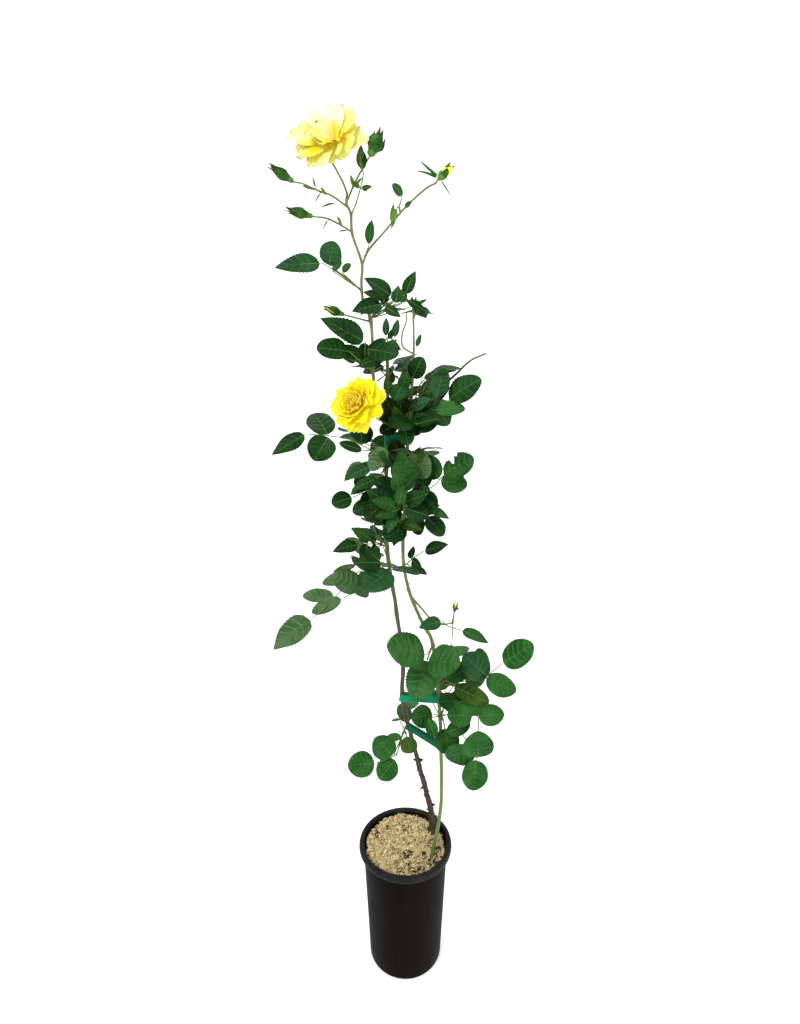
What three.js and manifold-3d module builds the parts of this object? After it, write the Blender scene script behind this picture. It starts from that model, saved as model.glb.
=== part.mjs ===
// A potted climbing rose: a deep nursery pot, two tied canes, sprays of leaves, two blooms and buds.
// Millimetres, +Z up, the front towards -Y. The origin is the centre of the pot's flat underside.
import * as THREE from 'three';
import { mergeVertices } from 'three/addons/utils/BufferGeometryUtils.js';
import Module from 'manifold-3d';

const wasm = await Module();
wasm.setup();
const { Manifold, Mesh } = wasm;

// ---- driving dimensions ----
const clearance = 0.3;
const smallestDetail = 0.12;

const potHeight = 250;
const lipRadius = 87.5;
const lipBand = 13;
const potWall = 2.4;
const potFloor = 3;
const potTopRadius = 79.5;
const potBaseRadius = 69;
const potSides = 32;
const drainHoleRadius = 8;
const drainHoleRing = 44;
const drainHoles = 5;

const mulchBelowLip = 15;
const mulchDepth = 8;
const mulchTop = potHeight - mulchBelowLip;
const mixTop = mulchTop - mulchDepth;

const caneSides = 5;
const stalkSides = 3;
const stalkFootRadius = 1.7;
const stalkTipRadius = 1.2;
const flowerStalkFootRadius = 2.1;
const flowerStalkTipRadius = 1.6;
const spurLength = 7;
const spurRadius = 2.2;
const spurSides = 4;
const leafSunkInSpur = 1.5;

const bladeThickness = 0.9;
const rootHalfWidth = 1.0;

// Side blades of a compound leaf: degrees from the stalk, size beside the end blade,
// and how freely they vary.
const sideBladeAngle = 64;
const sideAngleSpread = 16;
const sideBladeSize = 0.85;
const pairShrink = 0.12;
const sizeSpread = 0.16;
const leastDroop = 0.05;
const droopSpread = 0.25;
const rollSpread = 0.5;
const pairsRun = 0.75;

const plantFinish = { roughness: 0.8, metalness: 0 };
const potFinish = { roughness: 0.55, metalness: 0 };
const soilFinish = { roughness: 0.95, metalness: 0 };
const tapeFinish = { roughness: 0.4, metalness: 0 };

// ---- colours ----
const colour = {
  pot: '#1b1a1a',
  mix: '#3a2a20',
  mulch: '#c9a467',
  bark: '#5b4632',
  greenCane: '#5f7a3c',
  youngCane: '#7c9a55',
  dryTwig: '#4b3a28',
  leafDark: '#17492a',
  leafMid: '#2a6a3a',
  leafBright: '#357a34',
  paleBloom: '#f6ef86',
  brightBloom: '#f9df2e',
  bud: '#4f7a35',
  tape: '#0f7f6c',
};

// ---- small helpers ----
const point = (list) => new THREE.Vector3(...list);
const degrees = THREE.MathUtils.degToRad;
const mix = THREE.MathUtils.lerp;

// The same row of draws each time, from one starting number.
function seeded(seed) {
  let state = seed;
  return () => {
    state = (state * 1664525 + 1013904223) % 4294967296;
    return state / 4294967296;
  };
}

function solidOf(geometry) {
  const bare = geometry.clone();
  bare.deleteAttribute('normal');
  bare.deleteAttribute('uv');
  const joined = mergeVertices(bare, 1e-4);
  return new Manifold(new Mesh({
    numProp: 3,
    vertProperties: new Float32Array(joined.attributes.position.array),
    triVerts: new Uint32Array(joined.index.array),
  }));
}

function geometryOf(solid) {
  const mesh = solid.getMesh();
  const geometry = new THREE.BufferGeometry();
  geometry.setAttribute('position', new THREE.BufferAttribute(new Float32Array(mesh.vertProperties), 3));
  geometry.setIndex(new THREE.BufferAttribute(new Uint32Array(mesh.triVerts), 1));
  geometry.computeVertexNormals();
  return geometry;
}

// The biggest body of a solid, with its sealed hollows filled and its scraps dropped.
function mainBody(solid) {
  const bodies = solid.decompose();
  bodies.sort((a, b) => b.volume() - a.volume());
  return bodies[0];
}

function boxesMeet(a, b, margin) {
  const boxA = a.boundingBox();
  const boxB = b.boundingBox();
  return [0, 1, 2].every((axis) => boxA.min[axis] < boxB.max[axis] + margin
    && boxB.min[axis] < boxA.max[axis] + margin);
}

function isClear(solid, others) {
  return others.every((other) => !boxesMeet(solid, other, clearance)
    || solid.minGap(other, 2 * clearance) >= clearance);
}

// ---- a tapering limb along a curve ----
class Limb {
  constructor(path, radiusAt, sides, rings) {
    this.curve = new THREE.CatmullRomCurve3(path.map(point), false, 'catmullrom', 0.5);
    this.radiusAt = radiusAt;
    this.sides = sides;
    this.rings = rings;
    this.frames = this.carryFrames();
  }

  carryFrames() {
    const frames = [];
    let across = new THREE.Vector3(0, -1, 0);
    for (let ring = 0; ring <= this.rings; ring += 1) {
      const share = ring / this.rings;
      const tangent = this.curve.getTangent(share);
      if (ring === 0 && Math.abs(tangent.dot(across)) > 0.9) across = new THREE.Vector3(1, 0, 0);
      across = across.clone().addScaledVector(tangent, -across.dot(tangent)).normalize();
      const third = new THREE.Vector3().crossVectors(across, tangent);
      frames.push({ centre: this.curve.getPoint(share), tangent, across, third, share });
    }
    return frames;
  }

  // The limb as a closed solid, swollen by a margin on its sides and its two ends.
  solid(margin = 0) {
    const tube = new THREE.CylinderGeometry(1, 1, 1, this.sides, this.rings);
    const places = tube.attributes.position;
    for (let i = 0; i < places.count; i += 1) {
      const ring = Math.round((places.getY(i) + 0.5) * this.rings);
      const frame = this.frames[ring];
      const radius = this.radiusAt(frame.share) + margin / Math.cos(Math.PI / this.sides);
      const place = frame.centre.clone();
      place.addScaledVector(frame.across, places.getX(i) * radius);
      place.addScaledVector(frame.third, places.getZ(i) * radius);
      if (ring === 0) place.addScaledVector(frame.tangent, -margin);
      if (ring === this.rings) place.addScaledVector(frame.tangent, margin);
      places.setXYZ(i, place.x, place.y, place.z);
    }
    return solidOf(tube);
  }

  // A place on the straight run between two rings, which is the middle line of the faceted limb.
  middleAt(share) {
    const ring = Math.min(this.rings - 1, Math.floor(share * this.rings));
    const from = this.frames[ring].centre;
    return from.clone().lerp(this.frames[ring + 1].centre, share * this.rings - ring);
  }

  // How far along its curve a rising limb reaches a height.
  shareAtHeight(height) {
    let low = 0;
    let high = 1;
    for (let step = 0; step < 30; step += 1) {
      const middle = (low + high) / 2;
      if (this.curve.getPoint(middle).z < height) low = middle;
      else high = middle;
    }
    return (low + high) / 2;
  }
}

const evenTaper = (foot, tip) => (share) => mix(foot, tip, share);

// ---- one leaf blade: a thin folded plate, thickest along its midrib ----
// Each place of an outline is how far along the blade it is, and the share of the half width there.
const leafOutline = [[0.36, 0.95], [0.74, 0.82]];
const narrowOutline = [[0.3, 0.95], [0.7, 0.8]];
const petalOutline = [[0.5, 0.88], [0.94, 0.82]];

const leafShape = { wide: 0.74, fold: 0.22, outline: leafOutline };
const narrowShape = { wide: 0.38, fold: 0.45, outline: narrowOutline };
const petalShape = { wide: 1.08, fold: 0.35, outline: petalOutline };

// The root lies on the middle line of the stalk, so the blade leaves it at nearly its full thickness.
function bladeSolid(root, tip, upperSide, shape) {
  const along = tip.clone().sub(root);
  const length = along.length();
  along.normalize();
  const side = new THREE.Vector3().crossVectors(along, upperSide).normalize();
  const face = new THREE.Vector3().crossVectors(side, along);
  const halfWidth = 0.5 * shape.wide * length;
  const rootTop = root.clone().addScaledVector(face, bladeThickness / 2);
  const rootUnder = root.clone().addScaledVector(face, -bladeThickness / 2);
  const corners = [];
  for (const hand of [1, -1]) {
    const margin = shape.outline.map(([share, width]) => root.clone()
      .addScaledVector(along, share * length)
      .addScaledVector(side, hand * width * halfWidth)
      .addScaledVector(face, shape.fold * width * halfWidth));
    margin.unshift(root.clone().addScaledVector(side, hand * rootHalfWidth));
    const edge = [...margin, tip];
    if (hand < 0) edge.reverse();
    for (let i = 0; i + 1 < edge.length; i += 1) {
      corners.push(rootTop, edge[i], edge[i + 1]);
      corners.push(rootUnder, edge[i + 1], edge[i]);
    }
    if (hand > 0) corners.push(margin[0], rootTop, rootUnder);
    else corners.push(margin[0], rootUnder, rootTop);
  }
  return solidOf(new THREE.BufferGeometry().setFromPoints(corners));
}

// ---- a compound leaf: a stalk, an end blade and pairs of side blades ----
function growLeaf(leaf, start, random) {
  const shape = leaf.narrow ? narrowShape : { ...leafShape, wide: leaf.wide ?? leafShape.wide };
  const facing = point(leaf.facing ?? [0, -0.8, 1]).normalize();
  const stalkEnd = point(leaf.stalk.at(-1));
  const tip = point(leaf.tip);
  const rings = 1 + leaf.stalk.length;
  const stalk = new Limb([start.toArray(), ...leaf.stalk], evenTaper(stalkFootRadius, stalkTipRadius),
    stalkSides, rings);
  const endLength = tip.distanceTo(stalkEnd);
  const endRoot = stalk.middleAt(1 - 0.5 / rings);
  const blades = [bladeSolid(endRoot, tip, facing, shape)];
  const pairs = leaf.pairs ?? 0;
  const pairStep = pairsRun / (pairs + 0.5);
  for (let pair = 0; pair < pairs; pair += 1) {
    const share = leaf.joints?.[pair] ?? 1 - pairStep * (pair + 1);
    const joint = stalk.middleAt(share);
    const tangent = stalk.curve.getTangent(share);
    const side = new THREE.Vector3().crossVectors(tangent, facing).normalize();
    const upper = new THREE.Vector3().crossVectors(side, tangent);
    for (const hand of [1, -1]) {
      const angle = degrees(sideBladeAngle + sideAngleSpread * (random() - 0.5));
      const length = endLength * (leaf.side ?? sideBladeSize) * (1 - pairShrink * pair)
        * (1 + sizeSpread * (random() - 0.5));
      const droop = leastDroop + droopSpread * random();
      const roll = rollSpread * (random() - 0.5);
      const heading = tangent.clone().multiplyScalar(Math.cos(angle))
        .addScaledVector(side, hand * Math.sin(angle))
        .addScaledVector(upper, -droop)
        .normalize();
      const upperSide = upper.clone().addScaledVector(side, hand * roll);
      const end = joint.clone().addScaledVector(heading, length);
      blades.push(bladeSolid(joint, end, upperSide, shape));
    }
  }
  return { stalk: stalk.solid(), blades };
}

// ---- a bud: a lathed body with its sepals ----
const sepalCount = 3;

function aimed(geometry, base, heading) {
  const turn = new THREE.Quaternion().setFromUnitVectors(new THREE.Vector3(0, 1, 0), heading);
  geometry.applyQuaternion(turn);
  geometry.translate(base.x, base.y, base.z);
  return geometry;
}

function ringOf(count, heading, lean, offset, make) {
  const across = new THREE.Vector3(1, 0, 0);
  if (Math.abs(heading.x) > 0.8) across.set(0, 0, 1);
  across.addScaledVector(heading, -across.dot(heading)).normalize();
  const third = new THREE.Vector3().crossVectors(heading, across);
  const made = [];
  for (let i = 0; i < count; i += 1) {
    const turn = (2 * Math.PI * (i + offset)) / count;
    const outward = across.clone().multiplyScalar(Math.cos(turn)).addScaledVector(third, Math.sin(turn));
    const direction = heading.clone().multiplyScalar(Math.cos(lean)).addScaledVector(outward, Math.sin(lean));
    const inner = heading.clone().multiplyScalar(Math.sin(lean)).addScaledVector(outward, -Math.cos(lean));
    made.push(make(direction, inner, outward, i));
  }
  return made;
}

function budSolids(bud, base) {
  const tip = point(bud.tip);
  const heading = tip.clone().sub(base);
  const length = heading.length();
  heading.normalize();
  const profile = [[0, -0.06], [0.55, 0], [1, 0.3], [0.72, 0.64], [0, 0.9]];
  const outline = profile.map(([radius, share]) => new THREE.Vector2(radius * bud.radius, share * length));
  const body = solidOf(aimed(new THREE.LatheGeometry(outline, 6), base, heading));
  const lean = degrees(bud.open ?? 14);
  const sepalLength = 0.88 * length;
  const sepals = ringOf(sepalCount, heading, lean, 0.3, (direction, inner, outward) => {
    const root = base.clone()
      .addScaledVector(heading, 0.1 * length)
      .addScaledVector(outward, 0.4 * bud.radius);
    const sepal = new THREE.ConeGeometry(0.36 * bud.radius, sepalLength, 3);
    sepal.translate(0, sepalLength / 2, 0);
    return solidOf(aimed(sepal, root, direction));
  });
  return [body, ...sepals];
}

// ---- a bloom: three rings of cupped petals on a small heart ----
const petalRings = [
  { count: 6, lean: 84, reach: 1, rise: 0, offset: 0 },
  { count: 4, lean: 52, reach: 0.8, rise: 0.05, offset: 0.5 },
  { count: 2, lean: 22, reach: 0.56, rise: 0.08, offset: 0.2 },
];

function bloomSolids(bloom) {
  const centre = point(bloom.centre);
  const heading = point(bloom.facing).normalize();
  const heart = new THREE.IcosahedronGeometry(0.24 * bloom.radius, 0);
  heart.translate(centre.x, centre.y, centre.z);
  const solids = [solidOf(heart)];
  for (const ring of petalRings) {
    solids.push(...ringOf(ring.count, heading, degrees(ring.lean), ring.offset, (direction, inner) => {
      const root = centre.clone().addScaledVector(heading, ring.rise * bloom.radius);
      const reach = ring.reach * bloom.radius;
      return bladeSolid(root, root.clone().addScaledVector(direction, reach), inner, petalShape);
    }));
  }
  return solids;
}

// ---- pot, potting mix and mulch ----
function lathed(profile) {
  const outline = profile.map(([radius, height]) => new THREE.Vector2(radius, height));
  const shape = new THREE.LatheGeometry(outline, potSides);
  shape.rotateX(Math.PI / 2);
  return solidOf(shape);
}

const outerRadius = (height) => mix(potBaseRadius, potTopRadius, height / potHeight);
const innerRadius = (height) => outerRadius(height) - potWall;

function makePot() {
  const underLip = potHeight - lipBand;
  const profile = [
    [0, 0],
    [potBaseRadius - 2, 0],
    [potBaseRadius, 2],
    [outerRadius(underLip - 4), underLip - 4],
    [outerRadius(underLip) + 1, underLip],
    [lipRadius - 1, underLip + 1],
    [lipRadius, underLip + 4],
    [lipRadius, potHeight - 3],
    [lipRadius - 2, potHeight],
    [innerRadius(potHeight) + 2, potHeight],
    [innerRadius(potHeight), potHeight - 3],
    [innerRadius(potFloor), potFloor],
    [0, potFloor],
  ];
  let pot = lathed(profile);
  for (let i = 0; i < drainHoles; i += 1) {
    const turn = (2 * Math.PI * i) / drainHoles;
    const hole = new THREE.CylinderGeometry(drainHoleRadius, drainHoleRadius, 4 * potFloor, 8);
    hole.rotateX(Math.PI / 2);
    hole.translate(drainHoleRing * Math.cos(turn), drainHoleRing * Math.sin(turn), 0);
    pot = pot.subtract(solidOf(hole));
  }
  return pot;
}

function makeMix() {
  const bottom = potFloor + clearance;
  const inset = 2 * clearance;
  return lathed([
    [0, bottom],
    [innerRadius(bottom) - inset, bottom],
    [innerRadius(mixTop) - inset, mixTop],
    [0, mixTop],
  ]);
}

function makeMulch(stems) {
  const bottom = mixTop + clearance;
  const inset = 2 * clearance;
  let mulch = lathed([
    [0, bottom],
    [innerRadius(bottom) - inset, bottom],
    [innerRadius(mulchTop) - inset, mulchTop],
    [0, mulchTop],
  ]);
  for (const stem of stems) mulch = mulch.subtract(stem.solid(clearance));
  return mulch;
}

// ---- the limbs, from the ground up: radii at foot and tip, and a few points on each path ----
const footDepth = mixTop - 12;

const limbTable = [
  {
    name: 'woody_shank', foot: 6.4, tip: 4.2, flare: 3.2, bark: 'bark', rings: 12,
    path: [[54, 38, footDepth], [53, 36, 250], [50, 32, 284], [43, 26, 322], [26, 13, 400], [10, 0, 475]],
  },
  {
    name: 'left_cane', from: 'woody_shank', foot: 4.1, tip: 2.6, bark: 'greenCane', rings: 15,
    path: [[10, 0, 475], [-5, -5, 550], [-5, -6, 630], [-17, -8, 735], [-30, -8, 832], [-31, -6, 950],
      [-28, -4, 1040], [-28, 0, 1165]],
  },
  {
    name: 'right_cane', foot: 3.6, tip: 2.6, bark: 'youngCane', rings: 20,
    path: [[46, -23, footDepth], [57, -15, 272], [66, -6, 335], [65, 0, 445], [60, 2, 548], [48, 5, 652],
      [30, 5, 692], [8, 4, 748], [-3, 2, 805], [-3, 0, 870], [2, 0, 940], [4, 0, 1020], [10, 0, 1095]],
  },
  {
    name: 'right_cane_tip', from: 'right_cane', foot: 2.5, tip: 1.4, bark: 'youngCane', rings: 6,
    path: [[10, 0, 1095], [13, 0, 1150], [12, 0, 1216]],
  },
  {
    name: 'thin_side_shoot', from: 'right_cane_tip', foot: 1.5, tip: 1.0, bark: 'youngCane', rings: 9,
    path: [[13, 0, 1150], [-4, -2, 1161], [-5, -2, 1180], [1, -2, 1198], [2, -2, 1214]],
  },
  {
    name: 'flower_cane', from: 'left_cane', foot: 2.6, tip: 1.7, bark: 'youngCane', rings: 17,
    path: [[-28, -3, 1060], [-42, -8, 1086], [-50, -10, 1116], [-52, -10, 1195], [-64, -10, 1228],
      [-66, -10, 1255], [-65, -10, 1282], [-78, -10, 1322], [-80, -10, 1350], [-86, -10, 1365],
      [-85, -10, 1379]],
  },
  {
    name: 'flower_branch_right', from: 'flower_cane', foot: 1.8, tip: 1.3, bark: 'youngCane', rings: 12,
    path: [[-65, -10, 1278], [-55, -11, 1300], [-28, -12, 1329], [0, -14, 1359], [29, -16, 1383],
      [43, -18, 1390]],
  },
  {
    name: 'dried_twig', from: 'right_cane', foot: 2.1, tip: 1.4, bark: 'dryTwig', rings: 10,
    path: [[6, 0, 1062], [30, -4, 1088], [60, -8, 1104], [80, -10, 1121], [100, -10, 1140],
      [124, -10, 1151]],
  },
  {
    name: 'short_lateral', from: 'right_cane', foot: 1.9, tip: 1.3, bark: 'youngCane', rings: 10,
    path: [[11, 4, 742], [27, 0, 724], [44, -6, 706], [62, -13, 700], [79, -20, 705]],
  },
];

// The foot spreads a little where it meets the ground.
function flaredTaper(row) {
  const spread = 0.22;
  return (share) => {
    const near = Math.max(0, 1 - share / spread);
    return mix(row.foot, row.tip, share) + row.flare * near * near;
  };
}

const limbs = {};
for (const row of limbTable) {
  const radiusAt = row.flare ? flaredTaper(row) : evenTaper(row.foot, row.tip);
  limbs[row.name] = new Limb(row.path, radiusAt, caneSides, row.rings);
}

const limbSolids = {};
for (const row of limbTable) {
  let solid = limbs[row.name].solid();
  if (row.from) solid = solid.subtract(limbs[row.from].solid(clearance));
  else solid = solid.trimByPlane([0, 0, 1], mixTop + clearance);
  limbSolids[row.name] = mainBody(solid);
}
const everyLimb = Object.values(limbSolids);

// ---- tape ties: closed loops round both canes ----
const tapeThickness = 0.8;
const tieTable = [
  { name: 'tie_upper', left: 1018, right: 1018, height: 16, slack: 1.0 },
  { name: 'tie_middle', left: 872, right: 866, height: 13, slack: 1.0 },
  { name: 'tie_lower', left: 556, right: 548, height: 13, slack: 1.4 },
  { name: 'tie_slanting', left: 494, right: 452, height: 9, slack: 4.5 },
];

function makeTie(row) {
  const left = limbs.left_cane;
  const right = limbs.right_cane;
  const from = left.curve.getPoint(left.shareAtHeight(row.left));
  const to = right.curve.getPoint(right.shareAtHeight(row.right));
  const span = to.clone().sub(from);
  const inner = Math.max(left.radiusAt(0.5), right.radiusAt(0.5)) + row.slack;
  const stadium = (radius) => {
    const path = new THREE.Path();
    path.absarc(span.length(), 0, radius, -Math.PI / 2, Math.PI / 2, false);
    path.absarc(0, 0, radius, Math.PI / 2, 1.5 * Math.PI, false);
    path.closePath();
    return path;
  };
  const outline = new THREE.Shape(stadium(inner + tapeThickness).getPoints(4));
  outline.holes.push(new THREE.Path(stadium(inner).getPoints(4)));
  const band = new THREE.ExtrudeGeometry(outline, { depth: row.height, bevelEnabled: false, steps: 1 });
  band.translate(0, 0, -row.height / 2);
  const alongSpan = span.clone().normalize();
  const upward = new THREE.Vector3(0, 0, 1).addScaledVector(alongSpan, -alongSpan.z).normalize();
  const away = new THREE.Vector3().crossVectors(upward, alongSpan);
  band.applyMatrix4(new THREE.Matrix4().makeBasis(alongSpan, away, upward));
  band.translate(from.x, from.y, from.z);
  let tie = solidOf(band);
  for (const cane of [left, right]) tie = tie.subtract(cane.solid(clearance));
  return mainBody(tie);
}

// ---- flowers and buds: a stalk from a limb, then a bloom or a bud ----
const flowerTable = [
  {
    name: 'top_bloom', limb: 'flower_cane', height: 1379, tone: 'paleBloom',
    stalk: [[-92, -12, 1396], [-106, -14, 1421], [-110, -22, 1436]],
    bloom: { centre: [-111, -28, 1442], facing: [-0.42, -0.82, 0.38], radius: 52 },
  },
  {
    name: 'mid_bloom', limb: 'right_cane', height: 1034, tone: 'brightBloom',
    stalk: [[-9, -22, 1036], [-38, -46, 1052], [-62, -56, 1070]],
    bloom: { centre: [-70, -64, 1077], facing: [-0.4, -0.86, 0.3], radius: 42 },
  },
  {
    name: 'bud_left_upper', limb: 'flower_cane', height: 1359, tone: 'bud',
    stalk: [[-106, -15, 1374], [-125, -18, 1380], [-147, -20, 1389], [-160, -22, 1391]],
    bud: { tip: [-192, -28, 1411], radius: 8.5 },
    leaves: [{ stalk: [[-122, -19, 1377]], tip: [-128, -34, 1362], narrow: true }],
  },
  {
    name: 'bud_left_lower', limb: 'flower_cane', height: 1326, tone: 'bud',
    stalk: [[-99, -15, 1337], [-115, -20, 1343], [-134, -22, 1345]],
    bud: { tip: [-172, -28, 1354], radius: 8.5 },
    leaves: [{ stalk: [[-112, -20, 1341]], tip: [-118, -34, 1326], narrow: true }],
  },
  {
    name: 'bud_top_right', limb: 'flower_cane', height: 1366, tone: 'bud',
    stalk: [[-73, -13, 1392], [-59, -15, 1414], [-51, -16, 1426]],
    bud: { tip: [-32, -18, 1460], radius: 10.5 },
  },
  {
    name: 'bud_mid_left', limb: 'flower_cane', height: 1198, tone: 'bud',
    stalk: [[-72, -14, 1203], [-92, -17, 1208]],
    bud: { tip: [-122, -21, 1219], radius: 7.5 },
  },
  {
    name: 'bud_right_open', limb: 'flower_branch_right', height: 1390, tone: 'bud',
    stalk: [[47, -18, 1395]],
    bud: { tip: [66, -21, 1412], radius: 9, open: 62 },
  },
  {
    name: 'spent_calyx', limb: 'right_cane_tip', height: 1216, tone: 'bud',
    stalk: [[13, 0, 1221]],
    bud: { tip: [17, -1, 1238], radius: 4.5, open: 40 },
  },
  {
    name: 'small_bud_shoot', limb: 'short_lateral', share: 1, tone: 'bud',
    stalk: [[81, -21, 715], [82, -22, 726]],
    bud: { tip: [87, -23, 745], radius: 5, open: 20 },
    leaves: [{ stalk: [[80, -22, 690], [79, -23, 668]], tip: [79, -24, 650], narrow: true }],
  },
];

// ---- masses of leaves: each springs from a short spur on a limb ----
// A leaf row gives the points of its stalk, the tip of its end blade, its pairs of side blades,
// their size beside the end blade, where on the stalk they join, how wide the blades are
// for their length, and the way its upper side faces.
const up = [0, -0.5, 1];
const front = [0, -1, 0.6];
const back = [0, 0.5, 1];
const underneath = [0.1, 0.9, 0.5];

const massTable = [
  {
    name: 'leaf_top_left', limb: 'flower_cane', height: 1243, tone: 'leafDark',
    leaves: [
      {
        stalk: [[-97, -17, 1266], [-124, -22, 1274]], tip: [-190, -36, 1271], wide: 0.66,
        facing: [0, -0.7, 1],
      },
      { stalk: [[-94, -15, 1266], [-113, -20, 1276]], tip: [-103, -32, 1310], wide: 0.95, facing: front },
    ],
  },
  {
    name: 'leaf_at_fork', limb: 'flower_branch_right', height: 1292, tone: 'leafMid',
    leaves: [{ stalk: [[-54, -17, 1306]], tip: [-49, -18, 1341], narrow: true, facing: front }],
  },
  {
    name: 'bract_shoot', limb: 'flower_cane', height: 1348, tone: 'leafMid',
    leaves: [
      {
        stalk: [[-70, -22, 1366], [-60, -27, 1398], [-64, -28, 1414]], tip: [-62, -29, 1437], pairs: 1,
        side: 0.9, narrow: true, facing: front,
      },
    ],
  },
  {
    name: 'bracts_right', limb: 'flower_branch_right', height: 1352, tone: 'leafMid',
    leaves: [
      { stalk: [[-5, -16, 1372]], tip: [-19, -18, 1392], facing: front },
      { stalk: [[-13, -15, 1358]], tip: [-20, -16, 1336], narrow: true, facing: front },
    ],
  },
  {
    name: 'leaves_top_right', limb: 'flower_cane', height: 1203, tone: 'leafDark',
    leaves: [
      {
        stalk: [[-32, -13, 1221], [-1, -14, 1237]], tip: [15, -14, 1271], pairs: 1, side: 0.75,
        wide: 0.5, facing: front,
      },
      { stalk: [[-20, -16, 1234]], tip: [-61, -26, 1260], wide: 0.52, facing: front },
      { stalk: [[-34, -18, 1224]], tip: [-79, -34, 1212], wide: 0.6, facing: front },
      { stalk: [[-40, 22, 1215], [-34, 52, 1228]], tip: [-30, 100, 1226], pairs: 1, facing: back },
    ],
  },
  {
    name: 'leaf_right_tip', limb: 'right_cane_tip', height: 1204, tone: 'leafDark',
    leaves: [
      { stalk: [[22, -5, 1222]], tip: [40, -10, 1209], pairs: 1, side: 0.9, facing: [0.4, -0.6, 1] },
      { stalk: [[18, 22, 1214], [22, 44, 1218]], tip: [34, 80, 1208], pairs: 1, facing: back },
    ],
  },
  {
    name: 'leaves_upper_left', limb: 'flower_cane', height: 1124, tone: 'leafDark',
    leaves: [
      {
        stalk: [[-62, -17, 1148], [-60, -22, 1168]], tip: [-125, -44, 1202], pairs: 1, side: 0.5,
        wide: 0.5, facing: [-0.1, -0.9, 0.6],
      },
      {
        stalk: [[-62, -24, 1134], [-84, -32, 1154]], tip: [-132, -44, 1160], pairs: 1, side: 0.7,
        facing: front,
      },
      { stalk: [[-56, -30, 1158]], tip: [-10, -52, 1150], wide: 0.66, facing: front },
    ],
  },
  {
    name: 'leaves_upper_back', limb: 'left_cane', height: 1110, tone: 'leafDark',
    leaves: [
      { stalk: [[-40, 30, 1124], [-52, 64, 1136]], tip: [-66, 118, 1134], pairs: 1, facing: back },
      { stalk: [[-12, 34, 1132]], tip: [10, 84, 1146], pairs: 1, facing: back },
    ],
  },
  {
    name: 'young_shoots', limb: 'left_cane', height: 1160, tone: 'leafBright',
    leaves: [
      { stalk: [[-30, -8, 1176]], tip: [-29, -14, 1204], pairs: 1, side: 0.8, narrow: true, facing: front },
      {
        stalk: [[-17, -10, 1174]], tip: [-11, -16, 1202], pairs: 1, side: 0.8, narrow: true,
        facing: front,
      },
    ],
  },
  {
    name: 'leaf_right_upper', limb: 'right_cane', height: 1056, tone: 'leafDark',
    leaves: [
      {
        stalk: [[32, -18, 1070], [64, -30, 1080]], tip: [114, -46, 1114], pairs: 2, side: 0.75,
        wide: 0.7, facing: [0.1, -0.9, 0.8],
      },
      { stalk: [[30, 40, 1068], [38, 72, 1078]], tip: [40, 124, 1076], pairs: 1, facing: back },
    ],
  },
  {
    name: 'leaves_right_pointed', limb: 'right_cane', height: 1046, tone: 'leafMid',
    leaves: [
      { stalk: [[12, -14, 1040]], tip: [50, -32, 1046], facing: front },
      { stalk: [[-2, -34, 1044]], tip: [4, -52, 1014], facing: front },
      { stalk: [[10, -26, 1050]], tip: [-22, -66, 1046], pairs: 1, facing: [0, -0.8, 0.8] },
      { stalk: [[20, -40, 1036]], tip: [56, -66, 1030], facing: [0, -0.9, 0.6] },
    ],
  },
  {
    name: 'leaves_right_round', limb: 'right_cane', height: 1080, tone: 'leafMid',
    leaves: [
      { stalk: [[10, -16, 1112]], tip: [26, -26, 1146], facing: [0, -1, 0.4] },
      { stalk: [[-2, -26, 1108]], tip: [-16, -56, 1084], pairs: 1, side: 0.8, facing: [0, -1, 0.8] },
      { stalk: [[36, -14, 1120]], tip: [78, -22, 1126], facing: [0, -0.4, 1] },
    ],
  },
  {
    name: 'leaf_mid_left', limb: 'left_cane', height: 998, tone: 'leafDark',
    leaves: [
      {
        stalk: [[-54, -18, 1002], [-93, -30, 1016], [-152, -42, 1024]], tip: [-204, -56, 1001],
        pairs: 2, side: 0.85, wide: 0.62, joints: [0.86, 0.48], facing: [0, -0.9, 0.9],
      },
      { stalk: [[-56, 34, 1006], [-78, 66, 1016]], tip: [-112, 116, 1012], pairs: 1, facing: back },
    ],
  },
  {
    name: 'leaves_pale_left', limb: 'left_cane', height: 970, tone: 'leafMid',
    leaves: [
      {
        stalk: [[-48, -26, 984], [-64, -30, 984]], tip: [-96, -40, 956], pairs: 1, side: 0.9,
        facing: underneath,
      },
      { stalk: [[-34, -30, 970], [-48, -38, 958]], tip: [-86, -48, 936], facing: [-0.2, -0.8, 0.8] },
      { stalk: [[-20, -30, 984]], tip: [-42, -62, 1004], facing: front },
    ],
  },
  {
    name: 'leaf_pale_right', limb: 'right_cane', height: 990, tone: 'leafMid',
    leaves: [
      { stalk: [[16, -14, 996]], tip: [47, -26, 957], pairs: 1, side: 0.7, wide: 0.85, facing: underneath },
      { stalk: [[4, -30, 992]], tip: [-6, -62, 960], wide: 0.85, facing: [0, -1, 0.4] },
      { stalk: [[22, 34, 992], [34, 66, 986]], tip: [48, 112, 968], pairs: 1, facing: back },
    ],
  },
  {
    name: 'leaf_round_left', limb: 'left_cane', height: 930, tone: 'leafDark',
    leaves: [
      {
        stalk: [[-56, -20, 936], [-84, -28, 927]], tip: [-117, -38, 919], pairs: 1, side: 0.9,
        wide: 0.86, facing: front,
      },
    ],
  },
  {
    name: 'leaves_front_middle', limb: 'right_cane', height: 925, tone: 'leafDark',
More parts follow.
